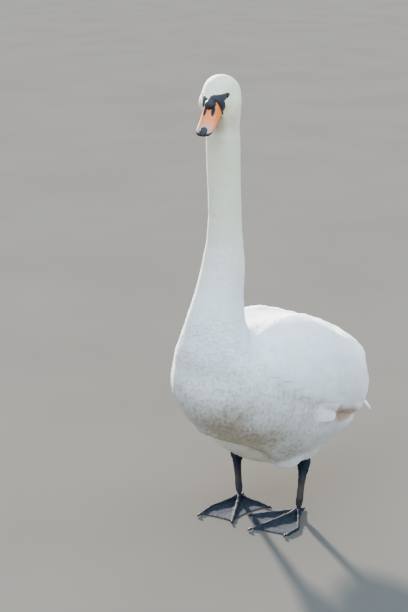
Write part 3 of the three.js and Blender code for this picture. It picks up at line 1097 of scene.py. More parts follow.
# Rows get deeper rearwards. The coverts' spacing, length and width are shares of their row's depth.
wingSpec = {
    "rowStart": -0.292,
    "rowEnd": 0.165,
    "firstRow": 0.012,
    "lastRow": 0.034,
    "spacing": 0.95,
    "length": 3.3,
    "width": 1.9,
    "lift": 0.0034,
}
coverShape = {
    "stops": (0.1, 0.3, 0.52, 0.72, 0.88, 0.965), "profile": (0.6, 0.9, 1.0, 1.0, 0.8, 0.45),
    "across": (-1, -0.5, 0, 0.5, 1), "hugs": True,
    "thickness": 0.0004, "camber": 0.06, "relief": 0.4, "curl": 0.012, "sink": -0.0012,
}
quillShape = {
    "stops": (0.04, 0.2, 0.42, 0.64, 0.82, 0.93, 0.98), "profile": (0.35, 0.85, 1.0, 1.0, 0.86, 0.58, 0.32),
    "across": (-1, -0.5, 0, 0.5, 1), "hugs": False,
    "thickness": 0.0007, "camber": 0.07, "relief": 1.0, "curl": 0.0, "sink": 0.0,
}


def castOnBody(backs, angles, sign):
    # places on the skin seen from outside, along rays towards the trunk's middle line
    places, faces = [], []
    for back, angle in zip(backs, np.radians(angles)):
        outwards = Vector((sign * math.cos(angle), 0, math.sin(angle)))
        middle = Vector((0, back, bodyAxis(back)))
        hit = skinTree.ray_cast(middle + outwards * 0.4, -outwards)
        if hit[0] is None or (hit[0] - middle).dot(outwards) < 0:
            hit = skinTree.find_nearest(middle + outwards * 0.12)
        places.append(hit[0])
        faces.append(hit[2])
    places, faces = np.array(places), np.array(faces)
    return places, smoothNormals(places, faces), faces


def wingWays(backs, angles, places, normals, sign, loose):
    # rearwards along the wing, keeping the same share of its height
    low, high = wingEdges(backs)
    lowAhead, highAhead = wingEdges(backs + 0.03)
    share = (angles - low) / (high - low)
    ahead, _, _ = castOnBody(backs + 0.03, lowAhead + (highAhead - lowAhead) * share, sign)
    ways = ahead - places
    ways = unit(ways - normals * dot(ways, normals)[:, None])
    return unit(ways + np.cross(normals, ways) * dice.normal(0, loose, len(ways))[:, None])


def growWing(side, sign):
    backs, angles, rows = [], [], []
    back = wingSpec["rowStart"]
    number = 0
    while back < wingSpec["rowEnd"]:
        share = (back - wingSpec["rowStart"]) / (wingSpec["rowEnd"] - wingSpec["rowStart"])
        row = wingSpec["firstRow"] + (wingSpec["lastRow"] - wingSpec["firstRow"]) * share ** 1.1
        low, high = wingEdges(back)
        girth = math.radians(high - low) * (0.10 + 0.06 * math.sin(math.pi * min(share + 0.25, 1)))
        across = max(4, round(girth / (row * wingSpec["spacing"])))
        for k in range(across + 1):
            f = (k + 0.5 * (number % 2)) / across
            if f <= 1:
                backs.append(back + dice.normal(0, 0.06) * row)
                angles.append(low + 1.5 + (high - low - 3) * f)
                rows.append(row)
        back += row
        number += 1
    backs, angles, rows = (np.array(values) for values in (backs, angles, rows))
    places, normals, faces = castOnBody(backs, angles, sign)
    ways = wingWays(backs, angles, places, normals, sign, 0.03)
    lengths = (rows * wingSpec["length"] + 0.006) * dice.uniform(0.95, 1.05, len(rows))
    widths = rows * wingSpec["width"] * dice.uniform(0.95, 1.05, len(rows))
    lifts = wingSpec["lift"] * dice.uniform(0.85, 1.1, len(rows))
    line, lineNormals = followSkin(places, normals, ways, lengths, 6)
    growVanes(f"wingCoverts_{side}", vaneFinish, line, lineNormals, faces, coverShape, widths, lifts)


for side, sign in bothSides:
    growWing(side, sign)
print("wings feathered")


# Base and tip are the innermost quill's. Spread and tipStep lead from each quill to the next outwards.
primarySpec = {
    "count": 7,
    "base": (0.060, 0.085, 0.372),
    "spread": (0.004, 0.010, -0.007),
    "tip": (0.022, 0.346, 0.281),
    "tipStep": (0.0045, -0.019, -0.0008),
    "width": 0.026,
    "rise": 0.006,
}
tailSpec = {
    "count": 20,
    "base": (0.0032, 0.165, 0.312),
    "tip": (0.0055, 0.386, 0.215),
    "shorter": 0.00095,
    "baseBow": 0.00025,
    "tipBow": 0.00036,
    "tipFall": 0.0006,
    "width": 0.027,
    "rise": 0.002,
}
tailCovertSpec = {
    "count": 52,
    "side": 0.036,
    "back": 0.165,
    "spread": 0.055,
    "height": 0.29,
    "lift": 0.03,
    "length": 0.085,
    "width": 0.022,
    "rise": 0.004,
    "reach": {"above": 0.33, "below": 0.318},
    "middleLine": ((0.174, 0.249, 0.324), (0.300, 0.272, 0.248)),
    "halfThickness": ((0.249, 0.324), (0.016, 0.008)),
}
flankSpec = {
    "front": [(0.160, -0.160, 0.353), (0.158, -0.156, 0.320)],
    "back": [(0.172, -0.058, 0.319), (0.166, -0.044, 0.287)],
    "count": 4,
    "width": 0.024,
    "lift": 0.0075,
    # how much of each panel is clean feathers, painted brightest partly as painted light
    "cleanAndLit": {"left": 1.0, "right": 0.15},
}
panelShape = {**coverShape, "stops": (0.1, 0.4, 0.75, 0.93, 0.985), "profile": (0.7, 1.0, 1.0, 0.95, 0.8)}
strayFeather = {
    "start": (0.1369, 0.1353, 0.2555),
    "end": (0.1413, 0.1751, 0.2177),
    "width": 0.017,
    "rise": 0.004,
    "lean": 0.9,
}


def layQuills(name, starts, ends, rises, widths, lean, steps=8):
    # long feathers from a start to an end, arched by a rise, that lean to the side from level
    shares = np.linspace(0, 1, steps + 1)[None, :, None]
    line = starts[:, None] * (1 - shares) + ends[:, None] * shares
    line[:, :, 2] += rises[:, None] * np.sin(np.pi * shares[:, :, 0])
    forward = unit(np.gradient(line, axis=1))
    _, _, faces = dropOnSkin(starts)
    leaning = np.zeros_like(forward)
    leaning[:, :, 0] = lean[:, None]
    leaning[:, :, 2] = 1.0
    upwards = unit(leaning - forward * dot(leaning, forward)[:, :, None])
    growVanes(name, vaneFinish, line, upwards, faces, quillShape, widths, np.zeros(len(starts)))


def growPrimaries(side, sign):
    # the folded wing tips, which cross above the tail
    order = np.arange(primarySpec["count"])[::-1, None]
    mirror = np.array([sign, 1, 1])
    starts = (np.array(primarySpec["base"]) + order * np.array(primarySpec["spread"])) * mirror
    ends = (np.array(primarySpec["tip"]) + order * np.array(primarySpec["tipStep"])) * mirror
    widths = np.full(len(order), primarySpec["width"])
    lean = sign * (0.35 + 0.05 * order[:, 0])
    layQuills(f"primaries_{side}", starts, ends, np.full(len(order), primarySpec["rise"]), widths, lean)


def growTail():
    middle = (tailSpec["count"] - 1) / 2
    order = np.arange(tailSpec["count"]) - middle
    order = order[np.argsort(-np.abs(order))]
    out = order ** 2
    base, tip = tailSpec["base"], tailSpec["tip"]
    baseHeights = base[2] - tailSpec["baseBow"] * out
    starts = np.stack([order * base[0], np.full(len(order), base[1]), baseHeights], axis=1)
    tipHeights = tip[2] + tailSpec["tipBow"] * out - np.abs(order) * tailSpec["tipFall"]
    ends = np.stack([order * tip[0], tip[1] - tailSpec["shorter"] * out, tipHeights], axis=1)
    widths = np.full(len(order), tailSpec["width"])
    layQuills("tailFeathers", starts, ends, np.full(len(order), tailSpec["rise"]), widths, 0.03 * order)


def growTailCoverts():
    # softer feathers lead from the rump onto the tail, above and below
    spec = tailCovertSpec
    for name, height in (("above", 1), ("below", -1)):
        across = dice.uniform(-1, 1, spec["count"])
        near = dice.uniform(0, 1, spec["count"])
        level = np.full(len(across), spec["height"] + height * spec["lift"])
        starts = np.stack([across * spec["side"], spec["back"] + near * spec["spread"], level], axis=1)
        places, _, _ = dropOnSkin(starts)
        ends = places.copy()
        ends[:, 0] *= 0.95
        ends[:, 1] = np.minimum(places[:, 1] + spec["length"], spec["reach"][name]) - 0.02 * across ** 2
        thickness = np.interp(ends[:, 1], *spec["halfThickness"])
        ends[:, 2] = np.interp(ends[:, 1], *spec["middleLine"]) + height * thickness
        order = np.argsort(-places[:, 1])
        rises, widths = (np.full(len(across), size) for size in (spec["rise"] * height, spec["width"]))
        layQuills(f"tailCoverts_{name}", places[order], ends[order], rises, widths, across[order] * 0.4, 6)


def growFlankPanel(side, sign):
    # broad flank feathers that end in one straight edge under the wing
    share = np.repeat(np.linspace(0, 1, flankSpec["count"]), 2)
    layer = np.tile([0.0, 1.0], flankSpec["count"])
    starts = [np.array(flankSpec["front"][k]) * (sign, 1, 1) for k in (0, 1)]
    ends = [np.array(flankSpec["back"][k]) * (sign, 1, 1) for k in (0, 1)]
    shift = (layer * 0.5 / flankSpec["count"])[:, None]
    spot = share[:, None] + shift
    roots, normals, faces = dropOnSkin(starts[0] * (1 - spot) + starts[1] * spot)
    targets, _, _ = dropOnSkin(ends[0] * (1 - spot) + ends[1] * spot)
    ways = unit(targets - roots)
    lengths = np.linalg.norm(targets - roots, axis=1)
    line, lineNormals = followSkin(roots, normals, ways, lengths, 6)
    piece = growVanes(f"flankFeathers_{side}", vaneFinish, line, lineNormals, faces, panelShape,
                      np.full(len(roots), flankSpec["width"]), flankSpec["lift"] * (1 - 0.2 * layer))
    addAttribute(piece.data, "cleanAndLit", np.full(len(piece.data.vertices), flankSpec["cleanAndLit"][side]))


def growLooseFeather():
    # one stray feather hangs out under the rear of the left wing
    start, _, _ = dropOnSkin(np.array([strayFeather["start"]]))
    end, rise, width, lean = (np.array([strayFeather[name]]) for name in ("end", "rise", "width", "lean"))
    layQuills("strayFeather", start, end, rise, width, lean, 6)


for side, sign in bothSides:
    growPrimaries(side, sign)
    growFlankPanel(side, sign)
growTail()
growTailCoverts()
growLooseFeather()
print("tail and wing tips feathered")


# Bill sections: place along the bill, half width, height above and depth below its cutting edge, metres.
billSpec = {
    "upper": [
        (-0.0776, 0.0060, 0.0022, 0.0012), (-0.0760, 0.0118, 0.0040, 0.0016),
        (-0.0708, 0.0166, 0.0062, 0.0016), (-0.0640, 0.0187, 0.0080, 0.0016),
        (-0.0545, 0.0196, 0.0100, 0.0016), (-0.0410, 0.0197, 0.0138, 0.0016),
        (-0.0240, 0.0197, 0.0222, 0.0016), (-0.0090, 0.0197, 0.0325, 0.0016),
        (0.0010, 0.0190, 0.0390, 0.0016), (0.0100, 0.0155, 0.0410, 0.0016)],
    "lower": [
        (-0.0732, 0.0050, 0.0006, 0.0012), (-0.0708, 0.0100, 0.0008, 0.0028),
        (-0.0595, 0.0152, 0.0010, 0.0058), (-0.0440, 0.0152, 0.0010, 0.0074),
        (-0.0290, 0.0144, 0.0010, 0.0088), (0.0000, 0.0138, 0.0010, 0.0106),
        (0.0120, 0.0130, 0.0010, 0.0110)],
    "lowerDrop": -0.0022,
    "squareness": 0.75,  # under 1 makes the sections fuller
    "nostril": (0.0088, -0.0225, 0.0222),
    "nostrilRadii": (0.0024, 0.0085, 0.0034),
    "nostrilTurn": 32.0,
    "nostrilLean": 25.0,
    "knob": (0.0, -0.0115, 0.0305),
    "knobRadii": (0.0112, 0.0110, 0.0096),
    "nail": (0.0, -0.0658, 0.0050),
    "nailRadii": (0.0090, 0.0147, 0.0044),
    "lumpSize": 0.006,
    "lumpHeight": 0.0007,
    "tipPull": {"test": lambda co: co.y < -0.0750 and co.z > 0.001, "move": (0, 0, -0.0012),
                "reach": 0.010},
    "nailPull": {"test": lambda co: co.y < -0.0785, "move": (0, 0.0004, -0.0026), "reach": 0.009},
    "knobPull": {"test": lambda co: co.y > -0.004 and co.z > 0.034, "move": (0, 0.0040, 0.0010),
                 "reach": 0.010},
    "paleTip": {"centre": (0.004, -0.068, 0.008), "radius": 0.024, "softness": 0.8},
    # painted shade, black, in and around each nostril's opening
    "nostrilShade": {"centre": (0.0090, -0.0212, 0.0232), "radii": (0.0044, 0.0140, 0.0078),
                  "turn": (math.radians(32), 0, 0), "softness": 0.14},
    "blackRoot": {"centre": (0, -0.0085, 0.031), "radii": (0.0128, 0.0140, 0.0130), "softness": 0.1},
}
billColours = {
    "orange": rgb(0.88, 0.19, 0.0005),
    "deepOrange": rgb(0.50, 0.09, 0.002),
    "pink": rgb(0.70, 0.19, 0.085),
    "pale": rgb(0.46, 0.28, 0.26),
    "black": rgb(0.010, 0.011, 0.015),
    "horn": (rgb(0.008, 0.009, 0.012), rgb(0.028, 0.030, 0.040)),
}


def makeBillFinish():
    # orange at the base, pinker forwards and pale round the nail, with black edges, and black painted shade
    # in the nostrils
    finish = Finish("billHorn")
    place = finish.place()
    head = finish.headPlace()
    _, back, up = finish.split(head)
    cloudy = finish.noise(place, 120, 3).soft(0.3, 0.75)
    streaks = finish.noise(finish.stretched(head, (400, 60, 300)), 1.0, 3).soft(0.35, 0.7)
    forwards = (-0.030 - back + (cloudy - 0.5) * 0.012).soft(0.0, 0.030)
    nearNail = finish.near(head, **billSpec["paleTip"])
    warm = finish.mix(forwards, billColours["orange"], billColours["pink"])
    tinted = finish.mix(nearNail * 0.75 + streaks * forwards * 0.15, warm, billColours["pale"])
    deeper = finish.mix((1.0 - cloudy) * 0.2, tinted, billColours["deepOrange"])
    # painted shade, black, in and around the nostril
    slit = finish.within(head, **billSpec["nostrilShade"])
    root = finish.within(head, **billSpec["blackRoot"])
    lipHeight = 0.0026 * (0.0 - back).soft(0.060, 0.074)
    edge = 1.0 - (up - lipHeight + (cloudy - 0.5) * 0.0008).soft(0.0004, 0.0014)
    base = (back - (0.0012 + 0.05 * up)).soft(0.0, 0.0012)
    black = larger(larger(slit, root), larger(edge, base))
    colour = finish.mix(black, deeper, billColours["black"])
    grain = finish.bump(streaks * 0.5 + finish.noise(place, 900, 2) * 0.5, 0.25, 0.0004)
    return finish.shade(Base_Color=colour, Roughness=0.34 + 0.16 * cloudy, Normal=grain,
                        Specular_IOR_Level=0.4, Coat_Weight=(1.0 - black) * 0.4, Coat_Roughness=0.22)


def makeBlackFinish(name, roughness, grainScale, gloss=0.3):
    # blue-black skin or horn with a fine grain
    finish = Finish(name)
    place = finish.place()
    cloudy = finish.noise(place, 90, 3).soft(0.3, 0.75)
    colour = finish.mix(cloudy, *billColours["horn"])
    grain = finish.bump(finish.noise(place, grainScale, 3), 0.4, 0.0005)
    return finish.shade(Base_Color=colour, Roughness=roughness + 0.15 * cloudy, Normal=grain,
                        Specular_IOR_Level=gloss)


billFinish = makeBillFinish()
knobFinish = makeBlackFinish("knobSkin", 0.46, 700)
nailFinish = makeBlackFinish("nailHorn", 0.44, 500)
clawFinish = makeBlackFinish("clawHorn", 0.42, 600, 0.10)


def loftRings(name, rings, drop=0.0, sides=20):
    # rings across the Y axis, bridged into one closed body
    loops = []
    for back, half, above, below in rings:
        startFresh()
        bpy.ops.mesh.primitive_circle_add(vertices=sides, radius=1, location=(0, back, drop),
                                          rotation=(math.pi / 2, 0, 0))
        ring = bpy.context.object
        ring.scale = (half, above, 1)
        settle(ring)
        for vertex in ring.data.vertices:
            share = (vertex.co.z - drop) / above
            vertex.co.z = drop + above * math.copysign(abs(share) ** billSpec["squareness"], share)
        editWhere(ring, lambda co: co.z < drop - 0.001 * above)
        bpy.ops.transform.resize(value=(1, 1, below / above), center_override=(0, back, drop))
        leaveEdit()
        loops.append(ring)
    piece = joinPieces(name, loops)
    editAll(piece)
    bpy.ops.mesh.bridge_edge_loops()
    bpy.ops.mesh.select_all(action="DESELECT")
    bpy.ops.mesh.select_non_manifold()
    bpy.ops.mesh.fill_holes(sides=0)
    leaveEdit()
    faceOutwards(piece)
    subdivided(piece, 2)
    return piece


def subdivided(piece, levels):
    fine = piece.modifiers.new("fine", "SUBSURF")
    fine.levels = levels
    fine.render_levels = levels
    finishModifiers(piece)


def ballAt(place, radii, around=32, along=20):
    startFresh()
    bpy.ops.mesh.primitive_uv_sphere_add(segments=around, ring_count=along, radius=1, location=place)
    piece = bpy.context.object
    piece.scale = radii
    return settle(piece)


def softPull(piece, test, move, reach):
    # moves the vertices that pass a test, and less and less those within reach of them
    editWhere(piece, test)
    bpy.ops.transform.translate(value=move, use_proportional_edit=True, proportional_edit_falloff="SMOOTH",
                                proportional_size=reach)
    leaveEdit()


def carryOn(piece, name, finish, slot, *nodes):
    # names a finished piece, gives it its look and lets it stand for CAD nodes
    piece.name = name
    piece.data.name = name
    piece.data.materials.clear()
    piece.data.materials.append(finish)
    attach(piece, "root")
    if nodes:
        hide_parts(*nodes)


def cutNostrils(upper):
    for sign in (1, -1):
        place = Vector(billSpec["nostril"])
        place.x *= sign
        cutter = ballAt((0, 0, 0), billSpec["nostrilRadii"], 24, 16)
        turns = (billSpec["nostrilTurn"], billSpec["nostrilLean"] * sign, 0)
        cutter.rotation_euler = [math.radians(turn) for turn in turns]
        cutter.location = place
        settle(cutter)
        cut = upper.modifiers.new("nostril", "BOOLEAN")
        cut.operation = "DIFFERENCE"
        cut.object = cutter
        finishModifiers(upper)
        bpy.data.objects.remove(cutter)


def makeBill():
    upper = loftRings("billHorn_upper", billSpec["upper"])
    softPull(upper, **billSpec["tipPull"])
    cutNostrils(upper)
    putOnHead(upper)
    shadeSoft(upper, 50)
    carryOn(upper, "bill_upper_horn", billFinish, "bill", "bill_upper")
    lower = loftRings("billHorn_lower", billSpec["lower"], billSpec["lowerDrop"])
    putOnHead(lower)
    shadeSoft(lower)
    carryOn(lower, "bill_lower_horn", knobFinish, "bill_black", "bill_lower")
    nail = ballAt(billSpec["nail"], billSpec["nailRadii"])
    softPull(nail, **billSpec["nailPull"])
    putOnHead(nail)
    shadeSoft(nail)
    carryOn(nail, "bill_nail_horn", nailFinish, "bill_black", "bill_nail")
    knob = ballAt(billSpec["knob"], billSpec["knobRadii"], 48, 32)
    softPull(knob, **billSpec["knobPull"])
    lumps = bpy.data.textures.new("knobLumps", "CLOUDS")
    lumps.noise_scale = billSpec["lumpSize"]
    swell = knob.modifiers.new("swell", "DISPLACE")
    swell.texture = lumps
    swell.strength = billSpec["lumpHeight"]
    finishModifiers(knob)
    putOnHead(knob)
    shadeSoft(knob)
    carryOn(knob, "bill_knob_skin", knobFinish, "bill_black", "bill_knob")


makeBill()
print("bill made")


lidSpec = {
    "radius": 0.0069,
    "cornerDepth": 0.0038,
    "opening": 1.75,
    "rim": 0.0012,
    "thickness": 0.0008,
}


def makeEyeFinish(side):
    # dark brown with a black pupil
    finish = Finish(f"eye_{side}")
    outwards = Vector(eyeSpec["outwards"]).normalized()
    pole = tuple(Vector(eyeSpec["place"]) + outwards * eyeSpec["radius"])
    head = finish.headPlace()
    flecks = finish.noise(head, 900, 3).soft(0.3, 0.7)
    iris = finish.mix(flecks, *eyeSpec["iris"])
    pupil = finish.near(head, pole, eyeSpec["pupilRadius"], 0.15)
    colour = finish.mix(pupil, iris, eyeSpec["pupil"])
    return finish.shade(Base_Color=colour, Roughness=0.06 + 0.02 * flecks, Specular_IOR_Level=0.35)


def makeEye(side, sign):
    place = Vector(eyeSpec["place"])
    outwards = Vector(eyeSpec["outwards"]).normalized()
    place.x *= sign
    outwards.x *= sign
    ball = ballAt(place, (eyeSpec["radius"],) * 3, *eyeSpec["segments"])
    putOnHead(ball)
    shadeSoft(ball)
    carryOn(ball, f"eyeball_{side}", makeEyeFinish(side), "eye", f"eye_{side}")
    upwards = (Vector((0, 0, 1)) - outwards * outwards.z).normalized()
    across = upwards.cross(outwards)
    toEye = Matrix((across, upwards, outwards)).transposed().to_4x4()
    toEye.translation = place
    halves = []
    for way in (1, -1):
        half = ballAt((0, 0, 0), (lidSpec["radius"],) * 3, *eyeSpec["segments"])
        cutOff(half, (0, 0, lidSpec["rim"]), (0, 0, -1), False)
        cutOff(half, (0, 0, 0), (0, -way, 0), False)
        cutOff(half, (0, 0, lidSpec["cornerDepth"]), (0, -way, lidSpec["opening"]), False)
        halves.append(half)
    lids = joinPieces("lids", halves)
    mergeClose(lids, 0.0001)
    faceOutwards(lids)
    wall = lids.modifiers.new("wall", "SOLIDIFY")
    wall.thickness = lidSpec["thickness"]
    wall.offset = -1
    finishModifiers(lids)
    subdivided(lids, 1)
    lids.data.transform(toEye)
    putOnHead(lids)
    shadeSoft(lids, 60)
    carryOn(lids, f"lids_{side}", knobFinish, "bill_black")


for side, sign in bothSides:
    makeEye(side, sign)
print("eyes made")


# Each foot has its heel at the origin of its own frame and points to -Y, the right one mirrored.
# A toe is its length, its angle to the middle toe in degrees, and its outward bow half way.
footSpec = {
    "left": {
        "heel": (0.081, -0.067), "turn": 19,
        "toes": {"outer": (0.122, 36, 2), "middle": (0.151, 0, 0), "inner": (0.122, -27, 0.5),
                 "hind": (0.024, -165, 0)},
    },
    "right": {
        "heel": (-0.081, -0.095), "turn": 27,
        "toes": {"outer": (0.137, 39, 0.9), "middle": (0.126, 0, 0), "inner": (0.091, -66, 0.3),
                 "hind": (0.024, -165, 0)},
    },
    "voxel": 0.0013,
    "plateTop": 0.0046,
    "webTop": 0.0024,
    "toeWidth": 0.0052,
    "knuckles": (0.30, 0.56, 0.80, 0.97),
    "knuckleLength": 0.035,
    "knuckleHeight": 0.0011,
    "wrinkles": 95,
    "wrinkleHeight": 0.00035,
    "knobbliness": 0.00055,
    "stouter": 0.0018,
    "longer": 0.042,
}


def footMatrixOf(side, sign):
    heel, turn = footSpec[side]["heel"], footSpec[side]["turn"]
    return (Matrix.Translation((*heel, 0)) @ Matrix.Rotation(math.radians(-turn * sign), 4, "Z")
            @ Matrix.Diagonal((sign, 1, 1, 1)))


def toePoint(toe, share):
    length, angle, bow = toe
    bend = np.radians(angle * (1 + bow * share * (1 - share)))
    return np.stack([length * share * np.sin(bend), -length * share * np.cos(bend)], axis=-1)


def nearToes(level, toes):
    # distance to the nearest toe's line and the share of its length
    best = np.full(len(level), 1.0)
    spot = np.zeros(len(level))
    for toe in toes.values():
        for share in np.linspace(0, 1.06, 54):
            reach = np.linalg.norm(level[:, :2] - toePoint(toe, share), axis=1)
            closer = reach < best
            best = np.where(closer, reach, best)
            spot = np.where(closer, share, spot)
    return best, spot


legColours = {
    "skin": (rgb(0.009, 0.011, 0.017), rgb(0.026, 0.031, 0.045)),
    # the webs' dark tone and their lighter one, whose streaks are painted sheen
    "web": (rgb(0.010, 0.013, 0.019), rgb(0.040, 0.048, 0.067)),
    "mud": rgb(0.105, 0.090, 0.055),
    "earth": rgb(0.070, 0.054, 0.038),
    "crack": rgb(0.005, 0.005, 0.007),
    "scaleCount": 300.0,
}


def makeLegFinish():
    # blue-black scaly skin, browner down the shanks, with paler webs whose lighter streaks along their
    # folds are painted sheen
    finish = Finish("legSkin")
    place = finish.place()
    web = finish.attribute("web")
    rays = finish.node("ShaderNodeUVMap", {"uv_map": "rays"})
    cloudy = finish.noise(place, 45, 4).soft(0.35, 0.7)
    streaks = finish.noise(finish.stretched(rays, (60, 7, 1)), 1.0, 4, 0.6).soft(0.38, 0.68)
    mud = finish.noise(finish.stretched(rays, (26, 5, 1)), 1.3, 3).soft(0.55, 0.75)
    cells = {"Vector": place, "Scale": legColours["scaleCount"]}
    edges = finish.node("ShaderNodeTexVoronoi", {"feature": "DISTANCE_TO_EDGE"}, cells)
    plates = finish.node("ShaderNodeTexVoronoi", {"feature": "F1"}, cells, output="Distance")
    skinTone = finish.mix(cloudy, *legColours["skin"])
    # the lighter streaks on the webs: painted sheen along their folds
    webTone = finish.mix(streaks, *legColours["web"])
    side, _, up = finish.split(place)
    footTone = finish.mix((1.0 - up.soft(0.012, 0.035)) * 0.55, skinTone, webTone)
    colour = finish.mix(web, footTone, webTone)
    olive = mud * (0.25 + 0.55 * side.soft(0.02, 0.06)) * (1.0 - up.soft(0.01, 0.10))
    dusty = finish.mix(olive, colour, legColours["mud"])
    shank = up.soft(0.020, 0.045) * (1.0 - up.soft(0.062, 0.098))
    earthy = finish.mix(shank * (0.35 + 0.45 * cloudy), dusty, legColours["earth"])
    scale = edges.soft(0.0, 0.10)
    worn = finish.mix((1.0 - scale) * 0.35 * (1.0 - web), earthy, legColours["crack"])
    height = scale * (0.7 - 0.35 * web) + (1.0 - plates) * 0.2 + streaks * web * 0.5
    return finish.shade(Base_Color=worn, Roughness=0.60 + 0.14 * cloudy + 0.16 * web,
                        Normal=finish.bump(height, 0.55, 0.0006), Specular_IOR_Level=0.05)


legFinish = makeLegFinish()


def aroundHeel(level):
    return np.arctan2(level[:, 0], -level[:, 1]), np.linalg.norm(level[:, :2], axis=1)


def shapeFoot(level, toes):
    # new heights for a foot's surface, thinned and wrinkled between the toes, and where it is a web
    spec = footSpec
    reach, share = nearToes(level, toes)
    angle, fromHeel = aroundHeel(level)
    height = level[:, 2]
    onFoot = ease(fromHeel, 0.010, 0.028) * (1 - ease(height, 0.02, 0.03))
    plate, top = spec["plateTop"], spec["webTop"]
    lowered = np.where(height < plate, height * top / plate, top + (height - plate) * 0.95)
    onToe = 1 - ease(reach, spec["toeWidth"] * 0.8, spec["toeWidth"] * 1.3)
    web = onFoot * (1 - onToe)
    folds = np.sin(angle * spec["wrinkles"] + 2.2 * ripple(level, 0.05, 21))
    folds *= 0.6 + 0.4 * ripple(level, 0.03, 22)
    knuckles = sum(hump(share, spot, spec["knuckleLength"]) for spot in spec["knuckles"])
    upper = ease(height, plate * 0.35, plate * 0.8)
    change = (lowered - height) * onFoot
    change += web * upper * (folds * spec["wrinkleHeight"] - 0.0004 * ease(reach, 0.006, 0.02))
    change += onToe * onFoot * upper * (knuckles * spec["knuckleHeight"] - 0.0003)
    return np.maximum(height + change, 0.0), web


def makeLimb(side, sign):
    piece = cadCopy(f"limb_{side}", f"leg_{side}", f"foot_{side}")
    remeshed(piece, footSpec["voxel"], 5)
    matrix = footMatrixOf(side, sign)
    inverse = np.array(matrix.inverted())
    forward = np.array(matrix)
    normals = vertexNormals(piece.data)
    level = vertexPlaces(piece.data) @ inverse[:3, :3].T + inverse[:3, 3]
    level[:, 2], web = shapeFoot(level, footSpec[side]["toes"])
    places = level @ forward[:3, :3].T + forward[:3, 3]
    height = level[:, 2]
    knobbly = ease(height, 0.02, 0.05) * (0.5 + 1.4 * ease(height, 0.09, 0.105))
    stouter = footSpec["stouter"] * ease(height, 0.015, 0.035)
    swell = ripple(places, 0.011, 31) * footSpec["knobbliness"] * knobbly + stouter
    places += normals * swell[:, None]
    if side == "left":
        # up to the higher cuff of the left thigh
        places += (ease(height, 0.110, 0.130) * footSpec["longer"])[:, None] * skinSpec["cuffWay"]
    movePlaces(piece.data, places)
    addAttribute(piece.data, "web", web)
    angle, fromHeel = aroundHeel(level)
    corner = valuesOf(piece.data.loops, "vertex_index", 1, np.int32)[:, 0]
    addMap(piece.data, "rays", np.stack([angle, fromHeel * 10], axis=1)[corner])
    shadeSoft(piece)
    carryOn(piece, f"leg_skin_{side}", legFinish, "leg_skin", f"leg_{side}", f"foot_{side}")


# A claw's lengths are how far each ring reaches forwards, falls and narrows.
clawSpec = {
    "radius": 0.0033,
    "sides": 14,
    "rings": ((-0.0025, 0.0002, 1.02), (-0.0030, -0.0001, 0.92), (-0.0030, -0.0006, 0.80),
              (-0.0026, -0.0008, 0.66), (-0.0016, -0.0006, 0.45)),
    "sunkIn": 0.0055,
    "height": 0.0042,
    "hindSize": 0.85,
}


def makeClaw():
    # one claw at the origin that points to -Y and curves down
    startFresh()
    bpy.ops.mesh.primitive_circle_add(vertices=clawSpec["sides"], radius=clawSpec["radius"],
                                      fill_type="NGON", rotation=(math.pi / 2, 0, 0))
    claw = settle(bpy.context.object)
    editAll(claw)
    for reach, fall, narrow in clawSpec["rings"]:
        bpy.ops.mesh.extrude_region_move(TRANSFORM_OT_translate={"value": (0, reach, fall)})
        bpy.ops.transform.resize(value=(narrow, 1, narrow))
    leaveEdit()
    faceOutwards(claw)
    subdivided(claw, 2)
    shadeSoft(claw)
    return claw


def makeClaws():
    model = makeClaw()
    for side, sign in bothSides:
        for toe, size in footSpec[side]["toes"].items():
            turn = math.radians(size[1])
            length = size[0] - clawSpec["sunkIn"]
            end = (length * math.sin(turn), -length * math.cos(turn), clawSpec["height"])
            claw = twinOf(model, f"claw_{side}_{toe}")
            root = Matrix.Translation(end)
            small = Matrix.Scale(clawSpec["hindSize"] if toe == "hind" else 1.0, 4)
            claw.data.transform(footMatrixOf(side, sign) @ root @ Matrix.Rotation(turn, 4, "Z") @ small)
            faceOutwards(claw)
            carryOn(claw, f"claw_horn_{side}_{toe}", clawFinish, "claw", f"claw_{side}_{toe}")
    bpy.data.objects.remove(model)


for side, sign in bothSides:
    makeLimb(side, sign)
makeClaws()
print("legs, feet and claws made")


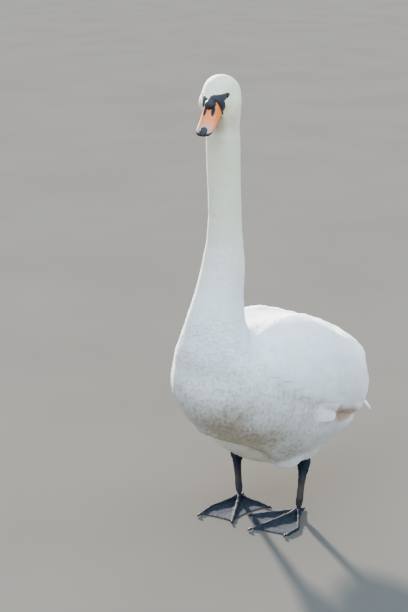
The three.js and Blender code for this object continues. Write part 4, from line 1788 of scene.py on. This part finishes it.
stageSpec = {
    "floor": 60.0,
    "floorColour": rgb(0.112, 0.103, 0.092),
    "floorDark": rgb(0.105, 0.096, 0.086),
    "worldColour": rgb(0.67, 0.83, 1.0),
    "worldStrength": 1.6,
    "keyLight": {"comesFrom": (-0.778, 0.565, 0.276), "strength": 30.0, "softness": 4,
                 "colour": (1.0, 0.93, 0.82)},
    "softSky": {"comesFrom": (0.30, -0.28, 0.91), "strength": 5.0, "softness": 100,
                "colour": (0.62, 0.82, 1.0)},
    "camera": (1.4301, -2.2517, 1.4535),
    "cameraPitch": 70.6,
    "cameraHeading": 37.0,
    "lens": 67.65,
    "sensor": 36,
}


def makeFloor():
    startFresh()
    bpy.ops.mesh.primitive_plane_add(size=stageSpec["floor"], location=(0, 0, 0))
    floor = bpy.context.object
    floor.name = "floor"
    settle(floor)
    finish = Finish("floor")
    grain = finish.noise(finish.place(), 1.5, 3).soft(0.3, 0.7)
    colour = finish.mix(grain, stageSpec["floorColour"], stageSpec["floorDark"])
    floor.data.materials.append(finish.shade(Base_Color=colour, Roughness=1.0, Specular_IOR_Level=0.0))


def addSun(name, comesFrom, strength, softness, colour):
    light = bpy.data.lights.new(name, "SUN")
    light.energy = strength
    light.angle = math.radians(softness)
    light.color = colour
    lamp = bpy.data.objects.new(name, light)
    lamp.location = Vector(comesFrom) * 4
    lamp.rotation_euler = Vector(comesFrom).to_track_quat("Z", "Y").to_euler()
    bpy.context.collection.objects.link(lamp)


def makeLight():
    world = bpy.data.worlds.new("studio")
    bpy.context.scene.world = world
    world.use_nodes = True
    background = world.node_tree.nodes["Background"]
    background.inputs["Color"].default_value = stageSpec["worldColour"]
    background.inputs["Strength"].default_value = stageSpec["worldStrength"]
    addSun("keyLight", **stageSpec["keyLight"])
    addSun("softSky", **stageSpec["softSky"])


def makeCamera():
    lens = bpy.data.cameras.new("camera")
    lens.lens = stageSpec["lens"]
    lens.sensor_width = stageSpec["sensor"]
    camera = bpy.data.objects.new("camera", lens)
    camera.location = stageSpec["camera"]
    turns = (stageSpec["cameraPitch"], 0, stageSpec["cameraHeading"])
    camera.rotation_euler = [math.radians(turn) for turn in turns]
    bpy.context.collection.objects.link(camera)
    bpy.context.scene.camera = camera


makeFloor()
makeLight()
makeCamera()

print("scene ready")
